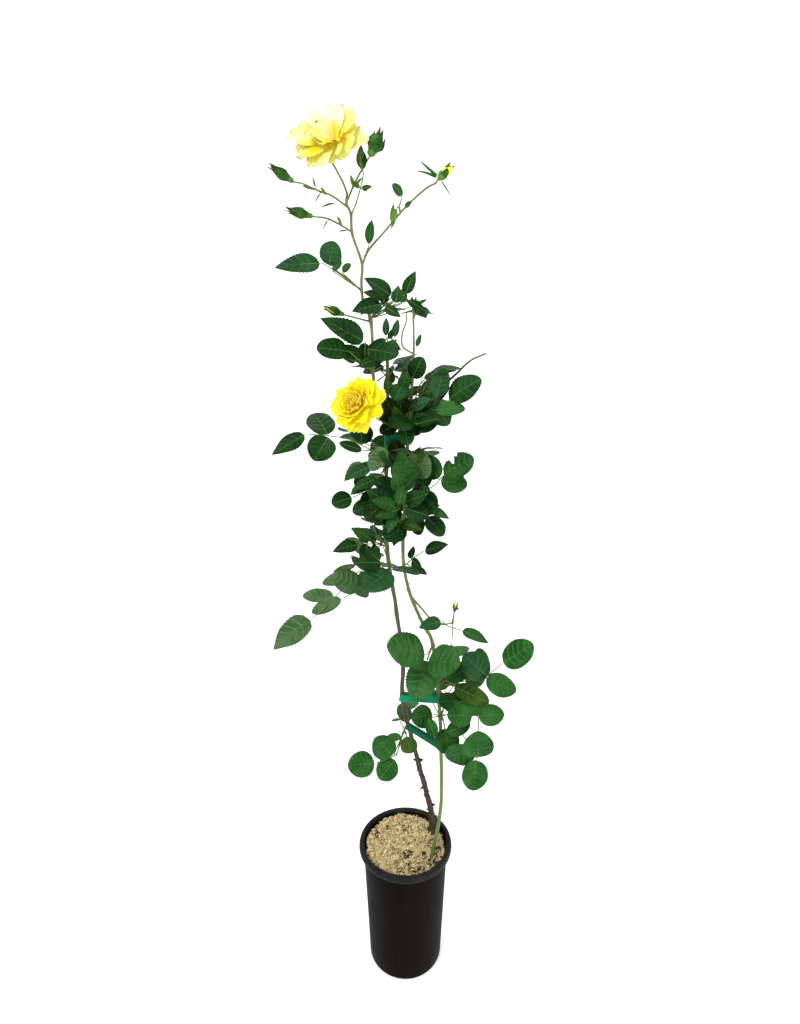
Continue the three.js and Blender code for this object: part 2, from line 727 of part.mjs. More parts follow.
    leaves: [
      { stalk: [[-4, -34, 930]], tip: [-60, -76, 926], pairs: 1, side: 0.8, facing: [0, -1, 0.7] },
      { stalk: [[4, -22, 918]], tip: [43, -52, 905], facing: [0, -1, 0.5] },
      { stalk: [[6, -36, 932]], tip: [38, -72, 950], facing: [0, -1, 0.6] },
      { stalk: [[-10, -34, 940]], tip: [-52, -70, 962], facing: [0, -1, 0.6] },
      { stalk: [[-8, -40, 914]], tip: [-48, -82, 896], facing: [0, -1, 0.6] },
    ],
  },
  {
    name: 'leaf_bitten', limb: 'right_cane', height: 906, tone: 'leafMid',
    leaves: [
      {
        stalk: [[8, -12, 922], [44, -24, 944], [58, -28, 961]], tip: [106, -42, 994], pairs: 2,
        side: 0.8, joints: [0.88, 0.5], facing: [0.1, -0.9, 0.9],
      },
    ],
  },
  {
    name: 'leaves_right_middle', limb: 'right_cane', height: 884, tone: 'leafDark',
    leaves: [
      {
        stalk: [[16, -18, 894], [34, -28, 896]], tip: [60, -46, 868], pairs: 1, side: 0.9,
        facing: [0.3, -0.9, 0.6],
      },
      { stalk: [[2, -36, 880]], tip: [-34, -62, 868], facing: [0, -1, 0.7] },
      { stalk: [[18, 36, 894], [26, 72, 900]], tip: [30, 124, 892], pairs: 1, facing: back },
    ],
  },
  {
    name: 'leaf_bundle_left', limb: 'left_cane', height: 836, tone: 'leafDark',
    leaves: [
      {
        stalk: [[-52, -20, 846], [-76, -28, 848]], tip: [-117, -42, 840], pairs: 2, side: 0.75,
        facing: [0, -0.8, 0.9],
      },
      { stalk: [[-50, 28, 846], [-58, 62, 856]], tip: [-76, 112, 852], pairs: 1, facing: back },
    ],
  },
  {
    name: 'leaf_bundle_right', limb: 'right_cane', height: 802, tone: 'leafDark',
    leaves: [
      {
        stalk: [[10, -12, 816], [30, -16, 832]], tip: [70, -28, 848], pairs: 1, side: 0.6,
        wide: 0.6, facing: [0, -0.7, 1],
      },
      { stalk: [[12, -16, 804]], tip: [36, -30, 796], facing: up },
    ],
  },
  {
    name: 'leaves_front_blue', limb: 'left_cane', height: 808, tone: 'leafDark',
    leaves: [
      { stalk: [[-22, -48, 810]], tip: [-64, -96, 796], pairs: 1, side: 0.8, facing: [0, -0.9, 1] },
    ],
  },
  {
    name: 'long_leaf_lower_left', limb: 'left_cane', height: 780, tone: 'leafMid',
    leaves: [
      {
        stalk: [[-54, -18, 794], [-82, -38, 802], [-106, -76, 782], [-142, -112, 757]],
        tip: [-198, -140, 719], pairs: 3, side: 0.72, wide: 0.54, facing: [-0.1, -0.7, 1],
      },
      { stalk: [[-40, 34, 786], [-52, 74, 790]], tip: [-74, 130, 776], pairs: 1, facing: back },
    ],
  },
  {
    name: 'leaves_short_lateral', limb: 'short_lateral', share: 0.78, tone: 'leafMid',
    leaves: [
      { stalk: [[62, -20, 710]], tip: [22, -36, 704], facing: [0, -0.9, 0.9] },
      { stalk: [[72, -34, 706], [92, -40, 702]], tip: [138, -48, 682], facing: [0, -0.7, 1] },
    ],
  },
  {
    name: 'big_leaves_front', limb: 'right_cane', height: 652, tone: 'leafBright',
    leaves: [
      { stalk: [[44, -28, 664], [36, -50, 662]], tip: [-30, -86, 696], facing: [0, -0.9, 1] },
      { stalk: [[36, -46, 652]], tip: [88, -84, 664], wide: 0.86, facing: [0, -0.9, 0.8] },
      { stalk: [[38, -40, 650]], tip: [16, -88, 602], facing: [0, -1, 0.5] },
    ],
  },
  {
    name: 'leaf_right_long', limb: 'right_cane', height: 572, tone: 'leafBright',
    leaves: [
      {
        stalk: [[90, -16, 584], [120, -24, 586], [140, -30, 612], [163, -36, 637]],
        tip: [212, -50, 682], pairs: 2, side: 0.8, wide: 0.68, facing: [0.1, -0.8, 1],
      },
      { stalk: [[84, 30, 586], [96, 66, 594]], tip: [108, 120, 590], pairs: 1, facing: back },
    ],
  },
  {
    name: 'leaf_right_hanging', limb: 'right_cane', height: 536, tone: 'leafBright',
    leaves: [
      {
        stalk: [[90, -18, 553], [124, -36, 541], [124, -50, 502], [122, -54, 468]],
        tip: [118, -66, 412], pairs: 2, joints: [0.88, 0.5], side: 0.9, wide: 0.8,
        facing: [0.1, -1, 0.6],
      },
    ],
  },
  {
    name: 'leaves_right_inner', limb: 'right_cane', height: 512, tone: 'leafMid',
    leaves: [
      { stalk: [[50, -16, 528]], tip: [10, -34, 532], wide: 0.9, facing: front },
      { stalk: [[70, -20, 506]], tip: [76, -36, 462], wide: 0.95, facing: front },
      { stalk: [[78, -18, 530]], tip: [94, -34, 566], wide: 0.8, facing: front },
      { stalk: [[72, 34, 526], [78, 68, 532]], tip: [74, 122, 526], pairs: 1, facing: back },
    ],
  },
  {
    name: 'leaf_lowest_left', limb: 'left_cane', height: 494, tone: 'leafBright',
    leaves: [
      {
        stalk: [[-16, -22, 474], [-32, -32, 455], [-54, -40, 454]], tip: [-101, -56, 452], pairs: 2,
        side: 0.85, facing: [0, -0.9, 1],
      },
      { stalk: [[-10, 30, 486], [-24, 60, 484]], tip: [-50, 104, 474], pairs: 1, facing: back },
    ],
  },
];

// ---- putting the solids together ----
const limbOf = (row) => limbs[row.limb];
const shareOf = (row) => row.share ?? limbOf(row).shareAtHeight(row.height);

// Leaf blades that would touch what already stands there are left out.
const standing = [...everyLimb];

function settle(row, parts, blades) {
  const kept = blades.filter((blade) => isClear(blade, standing));
  const joined = Manifold.union([...parts, ...kept]).simplify(smallestDetail);
  const trimmed = mainBody(joined.subtract(limbOf(row).solid(clearance)));
  standing.push(trimmed);
  return trimmed;
}

function makeFlower(row, seed) {
  const random = seeded(seed);
  const start = limbOf(row).curve.getPoint(shareOf(row));
  const path = [start.toArray(), ...row.stalk];
  if (row.bloom) path.push(row.bloom.centre);
  const taper = evenTaper(flowerStalkFootRadius, flowerStalkTipRadius);
  const stalk = new Limb(path, taper, stalkSides, path.length + 1);
  const end = point(row.stalk.at(-1));
  const parts = [stalk.solid()];
  const blades = [];
  if (row.bloom) parts.push(...bloomSolids(row.bloom));
  if (row.bud) parts.push(...budSolids(row.bud, end));
  for (const leaf of row.leaves ?? []) {
    const from = stalk.middleAt(0.5);
    const grown = growLeaf(leaf, from, random);
    parts.push(grown.stalk);
    blades.push(...grown.blades);
  }
  return settle(row, parts, blades);
}

function makeMass(row, seed) {
  const random = seeded(seed);
  const share = shareOf(row);
  const anchor = limbOf(row).curve.getPoint(share);
  const heading = new THREE.Vector3();
  for (const leaf of row.leaves) heading.add(point(leaf.stalk[0]).sub(anchor).normalize());
  heading.normalize();
  const reach = limbOf(row).radiusAt(share) + spurLength;
  const spurEnd = anchor.clone().addScaledVector(heading, reach);
  const spurPath = [anchor.toArray(), spurEnd.toArray()];
  const spur = new Limb(spurPath, evenTaper(spurRadius, spurRadius), spurSides, 1);
  const parts = [spur.solid()];
  const blades = [];
  const start = anchor.clone().addScaledVector(heading, reach - leafSunkInSpur);
  for (const leaf of row.leaves) {
    const grown = growLeaf(leaf, start, random);
    parts.push(grown.stalk);
    blades.push(...grown.blades);
  }
  return settle(row, parts, blades);
}

const group = new THREE.Group();

function addNode(name, solid, tone, finish = plantFinish) {
  const material = new THREE.MeshStandardMaterial({ color: tone, ...finish });
  const mesh = new THREE.Mesh(geometryOf(solid), material);
  mesh.name = name;
  group.add(mesh);
}

const groundStems = [limbs.woody_shank, limbs.right_cane];
addNode('pot', makePot(), colour.pot, potFinish);
addNode('potting_mix', makeMix(), colour.mix, soilFinish);
addNode('shavings_mulch', makeMulch(groundStems), colour.mulch, soilFinish);
for (const row of limbTable) addNode(row.name, limbSolids[row.name], colour[row.bark]);
for (const row of tieTable) {
  const tie = makeTie(row);
  standing.push(tie);
  addNode(row.name, tie, colour.tape, tapeFinish);
}
flowerTable.forEach((row, index) => addNode(row.name, makeFlower(row, 100 + index), colour[row.tone]));
massTable.forEach((row, index) => addNode(row.name, makeMass(row, 500 + index), colour[row.tone]));

export default group;
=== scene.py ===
"""The look of a potted climbing rose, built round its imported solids.
Shapes are worked out in millimetres and made in metres: +Z up, the front towards -Y."""
import math

import bpy
import numpy as np
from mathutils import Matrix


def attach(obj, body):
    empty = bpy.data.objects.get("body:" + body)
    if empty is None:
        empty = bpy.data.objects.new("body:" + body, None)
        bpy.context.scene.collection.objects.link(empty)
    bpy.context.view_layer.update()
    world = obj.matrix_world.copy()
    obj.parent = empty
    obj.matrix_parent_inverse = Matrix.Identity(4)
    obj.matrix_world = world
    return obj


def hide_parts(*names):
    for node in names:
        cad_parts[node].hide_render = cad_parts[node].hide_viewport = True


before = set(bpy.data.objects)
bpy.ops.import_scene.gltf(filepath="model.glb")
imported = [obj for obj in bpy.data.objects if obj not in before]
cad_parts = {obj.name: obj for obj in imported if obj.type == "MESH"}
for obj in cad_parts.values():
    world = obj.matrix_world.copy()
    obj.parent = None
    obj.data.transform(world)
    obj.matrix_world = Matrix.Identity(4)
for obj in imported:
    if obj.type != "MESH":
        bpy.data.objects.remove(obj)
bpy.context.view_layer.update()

MM = 0.001
UP = (0, -0.5, 1)
FRONT = (0, -1, 0.6)
BACK = (0, 0.5, 1)
UNDERNEATH = (0.1, 0.9, 0.5)


# ---- small helpers ----
def vec(place):
    return np.array(place, float)


def unit(vector):
    return vector / max(np.linalg.norm(vector), 1e-9)


def seeded(state):
    """The same row of draws each time, from one starting number."""
    def draw():
        nonlocal state
        state = (state * 1664525 + 1013904223) % 4294967296
        return state / 4294967296
    return draw


def between(draw, low, high):
    return low + (high - low) * draw()


def times(field, direction):
    """A direction, scaled by each number of a field."""
    return np.asarray(field)[..., None] * direction


def ramps(rows, columns):
    """For each place of a sheet, how far along it lies, from 0 to 1, and how far across, from -1 to 1."""
    return np.linspace(0, 1, rows)[:, None], np.linspace(-1, 1, columns)[None, :]


# Starting numbers of the rows of draws; each limb, mass, flower, bract or tie adds its own number.
SEEDS = {"bark": 900, "thorns": 950, "masses": 500, "flowers": 100, "blooms": 700, "bracts": 300, "ties": 60,
         "shavings": 31, "leaflets": 17}


# ---- finishes ----
class Value:
    """A socket that takes part in sums, each of which adds its own Math node."""

    def __init__(self, tree, socket):
        self.tree = tree
        self.socket = socket

    def sum_with(self, operation, first, second):
        node = self.tree.nodes.new("ShaderNodeMath")
        node.operation = operation
        for place, given in zip(node.inputs, (first, second)):
            if isinstance(given, Value):
                self.tree.links.new(given.socket, place)
            else:
                place.default_value = given
        return Value(self.tree, node.outputs[0])

    def __add__(self, other):
        return self.sum_with("ADD", self, other)

    def __radd__(self, other):
        return self.sum_with("ADD", other, self)

    def __sub__(self, other):
        return self.sum_with("SUBTRACT", self, other)

    def __rsub__(self, other):
        return self.sum_with("SUBTRACT", other, self)

    def __mul__(self, other):
        return self.sum_with("MULTIPLY", self, other)

    def __rmul__(self, other):
        return self.sum_with("MULTIPLY", other, self)

    def __truediv__(self, other):
        return self.sum_with("DIVIDE", self, other)


class Finish:
    """A material in the making: constants on the shader, nodes for what changes over the surface."""

    def __init__(self, name, **constants):
        self.material = bpy.data.materials.new(name)
        self.material.use_nodes = True
        self.tree = self.material.node_tree
        self.shader = self.tree.nodes["Principled BSDF"]
        for socket, value in constants.items():
            self.shader.inputs[socket.replace("_", " ").title().replace("Ior", "IOR")].default_value = value
        coordinates = self.tree.nodes.new("ShaderNodeTexCoord")
        self.place = Value(self.tree, coordinates.outputs["Object"])

    def feed(self, socket, value):
        if isinstance(value, Value):
            self.tree.links.new(value.socket, socket)
        elif isinstance(value, tuple) and len(value) == 3 and socket.type == "RGBA":
            socket.default_value = (*value, 1)
        else:
            socket.default_value = value

    def node(self, kind, settings=None, sockets=None, output=0):
        made = self.tree.nodes.new("ShaderNode" + kind)
        for name, value in (settings or {}).items():
            if name == "stops":
                ramp = made.color_ramp.elements
                while len(ramp) < len(value):
                    ramp.new(0.5)
                for stop, (position, colour) in zip(ramp, value):
                    stop.position = position
                    stop.color = (*colour, 1)
            else:
                setattr(made, name, value)
        for name, value in (sockets or {}).items():
            self.feed(made.inputs[name], value)
        return Value(self.tree, made.outputs[output])

    def noise(self, scale, detail=2.0, stretch=None):
        place = self.place
        if stretch:
            place = self.node("VectorMath", {"operation": "MULTIPLY"}, {0: place, 1: stretch})
        return self.node("TexNoise", {}, {"Vector": place, "Scale": scale, "Detail": detail})

    def blend(self, first, second, share):
        return self.node("Mix", {"data_type": "RGBA"}, {0: share, 6: first, 7: second}, output=2)

    def ramp(self, share, *stops):
        return self.node("ValToRGB", {"stops": stops}, {"Fac": share})

    def contrast(self, value, low, high):
        """Spreads the middle of a noise over the whole range from 0 to 1."""
        return self.node("MapRange", {}, {"Value": value, "From Min": low, "From Max": high})

    def bump(self, height, depth_mm, strength=1.0):
        return self.node("Bump", {}, {"Height": height, "Distance": depth_mm * MM, "Strength": strength})

    def wear(self, **sockets):
        for name, value in sockets.items():
            self.feed(self.shader.inputs[name.replace("_", " ").title()], value)
        return self.material


def leaf_finish(name, deep, light, roughness, sheen_spots=0.1):
    """A leaf's upper side: clouded green with a fine leathery grain."""
    finish = Finish(name, specular_ior_level=0.06)
    clouds = finish.contrast(finish.noise(38, 3.0), 0.34, 0.68)
    grain = finish.noise(700, 2.0)
    colour = finish.blend(deep, light, clouds)
    return finish.wear(base_color=colour, roughness=roughness - sheen_spots / 2 + sheen_spots * grain,
                       normal=finish.bump(grain, 0.12, 0.5))


def plain_plant_finish(name, first, second, roughness, scale=60, depth=0.15):
    """Soft clouds of two colours, for undersides, ribs, stalks and thorns."""
    finish = Finish(name, specular_ior_level=0.1)
    clouds = finish.contrast(finish.noise(scale, 3.0), 0.35, 0.65)
    grain = finish.noise(900, 2.0)
    return finish.wear(base_color=finish.blend(first, second, clouds), roughness=roughness + 0.08 * grain,
                       normal=finish.bump(grain, depth, 0.5))


def petal_finish(name, heart_shade_spots, stops, roughness=0.55):
    """A petal's yellow, deepest orange round each heart (a place and its reach), partly the bloom's own
    colour and partly painted shade of its hollows, with a silky grain and a faint glow that is painted light.
    """
    # A faint yellow glow on every petal: painted light, standing in for light shining through the petals.
    finish = Finish(name, specular_ior_level=0.1, emission_color=(0.9, 0.7, 0.05, 1), emission_strength=0.05)
    clouds = finish.noise(70, 3.0)
    share = 1.0
    for place, reach in heart_shade_spots:
        away = finish.node("VectorMath", {"operation": "DISTANCE"},
                           {0: finish.place, 1: tuple(vec(place) * MM)}, output=1)
        share = away.sum_with("MINIMUM", away / (reach * MM), share)
    silk = finish.noise(500, 3.0)
    return finish.wear(base_color=finish.ramp(share + 0.22 * (clouds - 0.5), *stops),
                       roughness=roughness + 0.1 * silk, normal=finish.bump(silk, 0.2, 0.4))


def bark_finish(name, low_mm, high_mm, low_colours, high_colours, roughness, streak=0.35, depth=0.35):
    """Bark whose colour changes with height, streaked along the cane."""
    finish = Finish(name, specular_ior_level=0.3)
    streaks = finish.noise(260, 3.0, stretch=(1.0, 1.0, 0.12))
    patches = finish.contrast(finish.noise(45, 3.0), 0.35, 0.65)
    height = finish.node("SeparateXYZ", {}, {0: finish.place}, output=2)
    rise = finish.node("MapRange", {}, {
        "Value": height + 0.02 * (patches - 0.5), "From Min": low_mm * MM, "From Max": high_mm * MM})
    low = finish.blend(*low_colours, finish.contrast(streaks, 0.5 - streak, 0.5 + streak))
    high = finish.blend(*high_colours, patches)
    return finish.wear(base_color=finish.blend(low, high, rise), roughness=roughness + 0.15 * (streaks - 0.5),
                       normal=finish.bump(streaks, depth))


# ---- many small shapes gathered into one piece ----
class Heap:
    def __init__(self):
        self.points = []
        self.faces = []
        self.marks = []
        self.size = 0

    def add(self, points, faces, marks=0):
        points = np.asarray(points, float).reshape(-1, 3)
        size = self.size
        self.faces.extend([corner + size for corner in face] for face in faces)
        self.marks.extend([marks] * len(faces) if isinstance(marks, int) else marks)
        self.points.append(points)
        self.size += len(points)

    def form(self, name, finishes=(), smooth=True):
        """The heap as an object of the scene."""
        mesh = bpy.data.meshes.new(name)
        mesh.from_pydata((np.concatenate(self.points) * MM).tolist(), [], self.faces)
        for finish in finishes:
            mesh.materials.append(finish)
        mesh.polygons.foreach_set("material_index", self.marks)
        mesh.polygons.foreach_set("use_smooth", [smooth] * len(self.faces))
        made = bpy.data.objects.new(name, mesh)
        bpy.context.scene.collection.objects.link(made)
        return made

    def piece(self, name, slot, finishes, nodes=(), sharp=50):
        """A piece in the place of the nodes, with an edge where faces meet at more than so many degrees."""
        made = self.form(name, finishes)
        made.data.set_sharp_from_angle(angle=math.radians(sharp))
        made.data.update()
        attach(made, "root")
        if nodes:
            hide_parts(*nodes)
        return made


SHEETS = {}


def sheet_faces(rows, columns):
    """Triangles of a thin closed sheet: its upper side, its underside on the same diagonals, and its rim."""
    if (rows, columns) in SHEETS:
        return SHEETS[rows, columns]
    under = rows * columns
    upper_faces = []
    lower_faces = []
    for row in range(rows - 1):
        for column in range(columns - 1):
            a = row * columns + column
            b, c, d = a + 1, a + columns + 1, a + columns
            upper_faces += [(a, b, c), (a, c, d)]
            lower_faces += [(c + under, b + under, a + under), (d + under, c + under, a + under)]
    edge = list(range(columns))
    edge += [row * columns + columns - 1 for row in range(1, rows)]
    edge += [(rows - 1) * columns + column for column in range(columns - 2, -1, -1)]
    edge += [row * columns for row in range(rows - 2, 0, -1)]
    rim = [(there, here, here + under, there + under) for here, there in zip(edge, edge[1:] + edge[:1])]
    SHEETS[rows, columns] = (upper_faces, lower_faces, rim)
    return SHEETS[rows, columns]


def thin_sheet(heap, grid, thickness, upper=0, under=0, rim=0):
    """Adds a grid of places as a closed sheet; its upper side is the one that side x along points to.
    The upper side and the underside take one mark, or one for each cell of the grid."""
    rows, columns = grid.shape[:2]
    along = np.gradient(grid, axis=0)
    across = np.gradient(grid, axis=1)
    normal = np.cross(across, along)
    normal /= np.maximum(np.linalg.norm(normal, axis=2, keepdims=True), 1e-9)
    upper_faces, lower_faces, rim_faces = sheet_faces(rows, columns)
    marks = []
    for mark in (upper, under):
        cells = [mark] * ((rows - 1) * (columns - 1)) if isinstance(mark, int) else mark
        marks += [cell for cell in cells for _ in (0, 1)]
    points = np.concatenate([grid.reshape(-1, 3), (grid - thickness * normal).reshape(-1, 3)])
    heap.add(points, upper_faces + lower_faces + rim_faces, marks + [rim] * len(rim_faces))


# ---- tubes: limbs, stalks, thorns ----
def carried_frames(places):
    """Two directions square to the line at each place, carried along it without twisting."""
    tangents = np.gradient(places, axis=0)
    tangents /= np.maximum(np.linalg.norm(tangents, axis=1, keepdims=True), 1e-9)
    across = vec((0, -1, 0)) if abs(tangents[0][1]) < 0.9 else vec((1, 0, 0))
    frames = []
    for tangent in tangents:
        across = unit(across - tangent * np.dot(across, tangent))
        frames.append((across, np.cross(across, tangent)))
    return np.array(frames)


def tube(heap, places, radii, sides, mark=0, relief=None):
    """A closed tube; relief multiplies its radius, one number for each ring and side."""
    places = np.asarray(places, float)
    rings = len(places)
    radii = np.broadcast_to(np.asarray(radii, float), (rings,))[:, None]
    frames = carried_frames(places)
    turns = np.linspace(0, 2 * math.pi, sides, endpoint=False)
    reach = radii * (relief if relief is not None else 1) * np.ones((rings, sides))
    points = (places[:, None, :] + times(reach * np.cos(turns), frames[:, None, 0, :])
              + times(reach * np.sin(turns), frames[:, None, 1, :]))
    faces = []
    for ring in range(rings - 1):
        for side in range(sides):
            beside = (side + 1) % sides
            a, b = ring * sides + side, ring * sides + beside
            faces.append((b, a, a + sides, b + sides))
    faces.append(tuple(range(sides)))
    faces.append(tuple(range((rings - 1) * sides + sides - 1, (rings - 1) * sides - 1, -1)))
    heap.add(points, faces, mark)


BARK_WAVES = 7


def bark_relief(rings, sides, heights, draw, depth):
    """Ridges and dents that run mostly along the cane."""
    turns = np.linspace(0, 2 * math.pi, sides, endpoint=False)[None, :]
    heights = np.asarray(heights)[:, None]
    relief = np.ones((rings, sides))
    for wave in range(BARK_WAVES):
        count = 1 + wave % 5
        pitch = between(draw, 0.01, 0.16)
        phase = between(draw, 0, 6.28)
        relief += depth / 2.5 * np.sin(count * turns + pitch * heights + phase)
    return relief


FLARE_SHARE = 0.22


class Limb:
    """A tapering limb along a smooth curve through its path."""

    def __init__(self, path, foot=1.0, tip=1.0, flare=0.0):
        self.path = vec(path)
        self.foot = foot
        self.tip = tip
        self.flare = flare

    def at(self, share):
        last = len(self.path) - 1
        span = min(max(share, 0.0), 1.0) * last
        first = min(int(span), last - 1)
        t = span - first
        b, c = self.path[first], self.path[first + 1]
        a = self.path[first - 1] if first > 0 else 2 * b - c
        d = self.path[first + 2] if first + 2 <= last else 2 * c - b
        m, n = 0.5 * (c - a), 0.5 * (d - b)
        return b + m * t + (3 * (c - b) - 2 * m - n) * t ** 2 + (2 * (b - c) + m + n) * t ** 3

    def tangent(self, share):
        return unit(self.at(min(share + 0.001, 1)) - self.at(max(share - 0.001, 0)))

    def radius(self, share):
        near = max(0.0, 1 - share / FLARE_SHARE)
        return self.foot + (self.tip - self.foot) * share + self.flare * near * near

    def share_at(self, height):
        low, high = 0.0, 1.0
        for _ in range(30):
            middle = (low + high) / 2
            low, high = (middle, high) if self.at(middle)[2] < height else (low, middle)
        return (low + high) / 2

    def length(self):
        places = np.array([self.at(share) for share in np.linspace(0, 1, 60)])
        return np.linalg.norm(np.diff(places, axis=0), axis=1).sum()


# ---- leaflets: a leaflet shorter than a small leaf's length has fewer rows and no side veins ----
LEAF_ROWS = 33
SMALL_LEAF_ROWS, SMALL_LEAF = 11, 17
LEAF_COLUMNS = vec((-1, -0.76, -0.48, -0.2, -0.05, 0.05, 0.2, 0.48, 0.76, 1))
RIB_COLUMN = 4
LEAF_SHAPES = {
    "oval": dict(wide=0.74, base=0.52, point=0.58, teeth=0.035, veins=6, fold=0.14),
    "pointed": dict(wide=0.56, base=0.55, point=1.0, teeth=0.035, veins=6, fold=0.2),
    "narrow": dict(wide=0.38, base=0.75, point=0.95, teeth=0.02, veins=5, fold=0.4),
}

# The order of a leaf's finishes.
UPPER, BELOW, RIB, VEIN, PALE_BELOW = 0, 1, 2, 3, 4


def leaf_cells(rows, veins, plain):
    """Marks for the cells of a leaf's side: its midrib, and the rows that carry its side veins."""
    cells = []
    for row in range(rows - 1):
        on_vein = (veins * row / (rows - 1)) % 1 < veins / (rows - 1)
        veined = on_vein and 1 < row < rows - 4 and rows == LEAF_ROWS
        for column in range(len(LEAF_COLUMNS) - 1):
            at_edge = column in (0, len(LEAF_COLUMNS) - 2)
            cells.append(RIB if column == RIB_COLUMN else VEIN if veined and not at_edge else plain)
    return cells


SIDE_CELLS = {(rows, veins, plain): leaf_cells(rows, veins, plain)
              for rows in (LEAF_ROWS, SMALL_LEAF_ROWS) for veins in (5, 6)
              for plain in (UPPER, BELOW, PALE_BELOW)}
STEM_SHARE = 0.06
RIB_HALF = 0.5
BLADE_THICKNESS = 0.28
BLADE_START, BLADE_END = 0.004, 0.996


def half_widths(s, length, shape, wide):
    """Half of the blade's width at each share of its length."""
    base, point = shape["base"], shape["point"]
    peak = base / (base + point)
    widths = (s / peak) ** base * ((1 - s) / (1 - peak)) ** point
    return 0.5 * (wide or shape["wide"]) * length * widths + 0.15


def bitten(sides, s, t, bite):
    """Takes a big and a small bite out of one side of a blade, from a place along it."""
    hand, place = bite
    gone = 0.62 * np.exp(-((s - place) / 0.07) ** 2) + 0.3 * np.exp(-((s - place - 0.17) / 0.035) ** 2)
    return np.where(sides * hand > 0, sides * (1 - gone * (np.abs(t) > 0.1)), sides)


def blade_lift(s, t, sides, half, length, ridges, fold, draw):
    """How far each place of a blade stands off its plane: folded along its midrib, bowed along its
    length, pleated between its veins, wavy and curled down towards its rim."""
    fold = fold * between(draw, 0.6, 1.5)
    bow = between(draw, 0.0, 0.07) * length
    wave = between(draw, 0.02, 0.09)
    curl = between(draw, 0.0, 0.16)
    phase = draw()
    pleat = 0.010 * length * ridges
    lift = (fold * np.abs(sides) + bow * 4 * s * (1 - s) + pleat * np.sin(math.pi * s) * (1 - np.abs(t) ** 3)
            + wave * half * t ** 2 * np.sin(2 * math.pi * (1.4 * s + phase) + 0.8 * np.sign(t))
            - curl * half * t ** 4)
    return np.where(np.abs(t) < 0.1, lift - 0.22 * (1 - s), lift)


def leaflet(heap, root, tip, upper, shape, draw, wide=None, bite=None, below=BELOW):
    """One leaflet: a toothed, veined blade with its midrib, on a short stalk of its own."""
    along = tip - root
    length = np.linalg.norm(along)
    along = along / length
    side = unit(np.cross(along, upper))
    face = np.cross(side, along)
    rows = SMALL_LEAF_ROWS if length < SMALL_LEAF else LEAF_ROWS
    s = np.linspace(BLADE_START, BLADE_END, rows)[:, None]
    t = LEAF_COLUMNS[None, :]
    at_rim = np.abs(t) == 1
    veins = shape["veins"]
    ridges = np.cos(2 * math.pi * veins * s)
    s = s + 0.8 * np.abs(t) * s * (1 - s)
    half = half_widths(s, length, shape, wide)
    tooth = np.where(np.arange(rows) % 2 == 0, 1.0, -1.0)[:, None]
    sides = t * (half * (1 + shape["teeth"] * tooth * at_rim))
    rib = np.minimum(RIB_HALF, 0.35 * half) * (1.15 - 0.8 * s)
    sides = np.where(np.abs(t) < 0.1, np.sign(t) * rib, sides)
    if bite:
        sides = bitten(sides, s, t, bite)
    lift = blade_lift(s, t, sides, half, length, ridges, shape["fold"], draw)
    x = (STEM_SHARE + (1 - STEM_SHARE) * s) * length + 0.01 * length * tooth * at_rim
    grid = root + times(x, along) + times(sides, side) + times(lift, face)
    upper_cells, below_cells = SIDE_CELLS[rows, veins, UPPER], SIDE_CELLS[rows, veins, below]
    thin_sheet(heap, grid, BLADE_THICKNESS, upper_cells, below_cells, below)
    tube(heap, [root, root + 0.5 * STEM_SHARE * length * along, grid[2, 4:6].mean(axis=0) - 0.2 * face],
         [0.55, 0.5, 0.35], 5, RIB)


def leaf(stalk, tip, pairs=0, side=0.85, wide=None, joints=(), narrow=False, pointed=False,
         facing=(0, -0.8, 1), bite=None, tone=None, bare=(), twice=True):
    """A compound leaf: the points of its stalk, its end leaflet's tip and its pairs of side leaflets.
    Bare names the side leaflets that have fallen, and twice gives a filler a copy behind the canes."""
    return dict(stalk=stalk, tip=tip, pairs=pairs, side=side, wide=wide, joints=joints, narrow=narrow,
                pointed=pointed, facing=facing, bite=bite, tone=tone, bare=bare, twice=twice)


def fill(foot, tip, wide, tone=None, facing=FRONT, **rest):
    """A single leaflet, on a stalk that ends at its foot."""
    return leaf([foot], tip, wide=wide, tone=tone, facing=facing, **rest)


SIDE_ANGLE = 64
SHRINK_BY_PAIR = 0.12
STIPULED_STALK = 22
STIPULE = dict(length=7, wide=0.22)


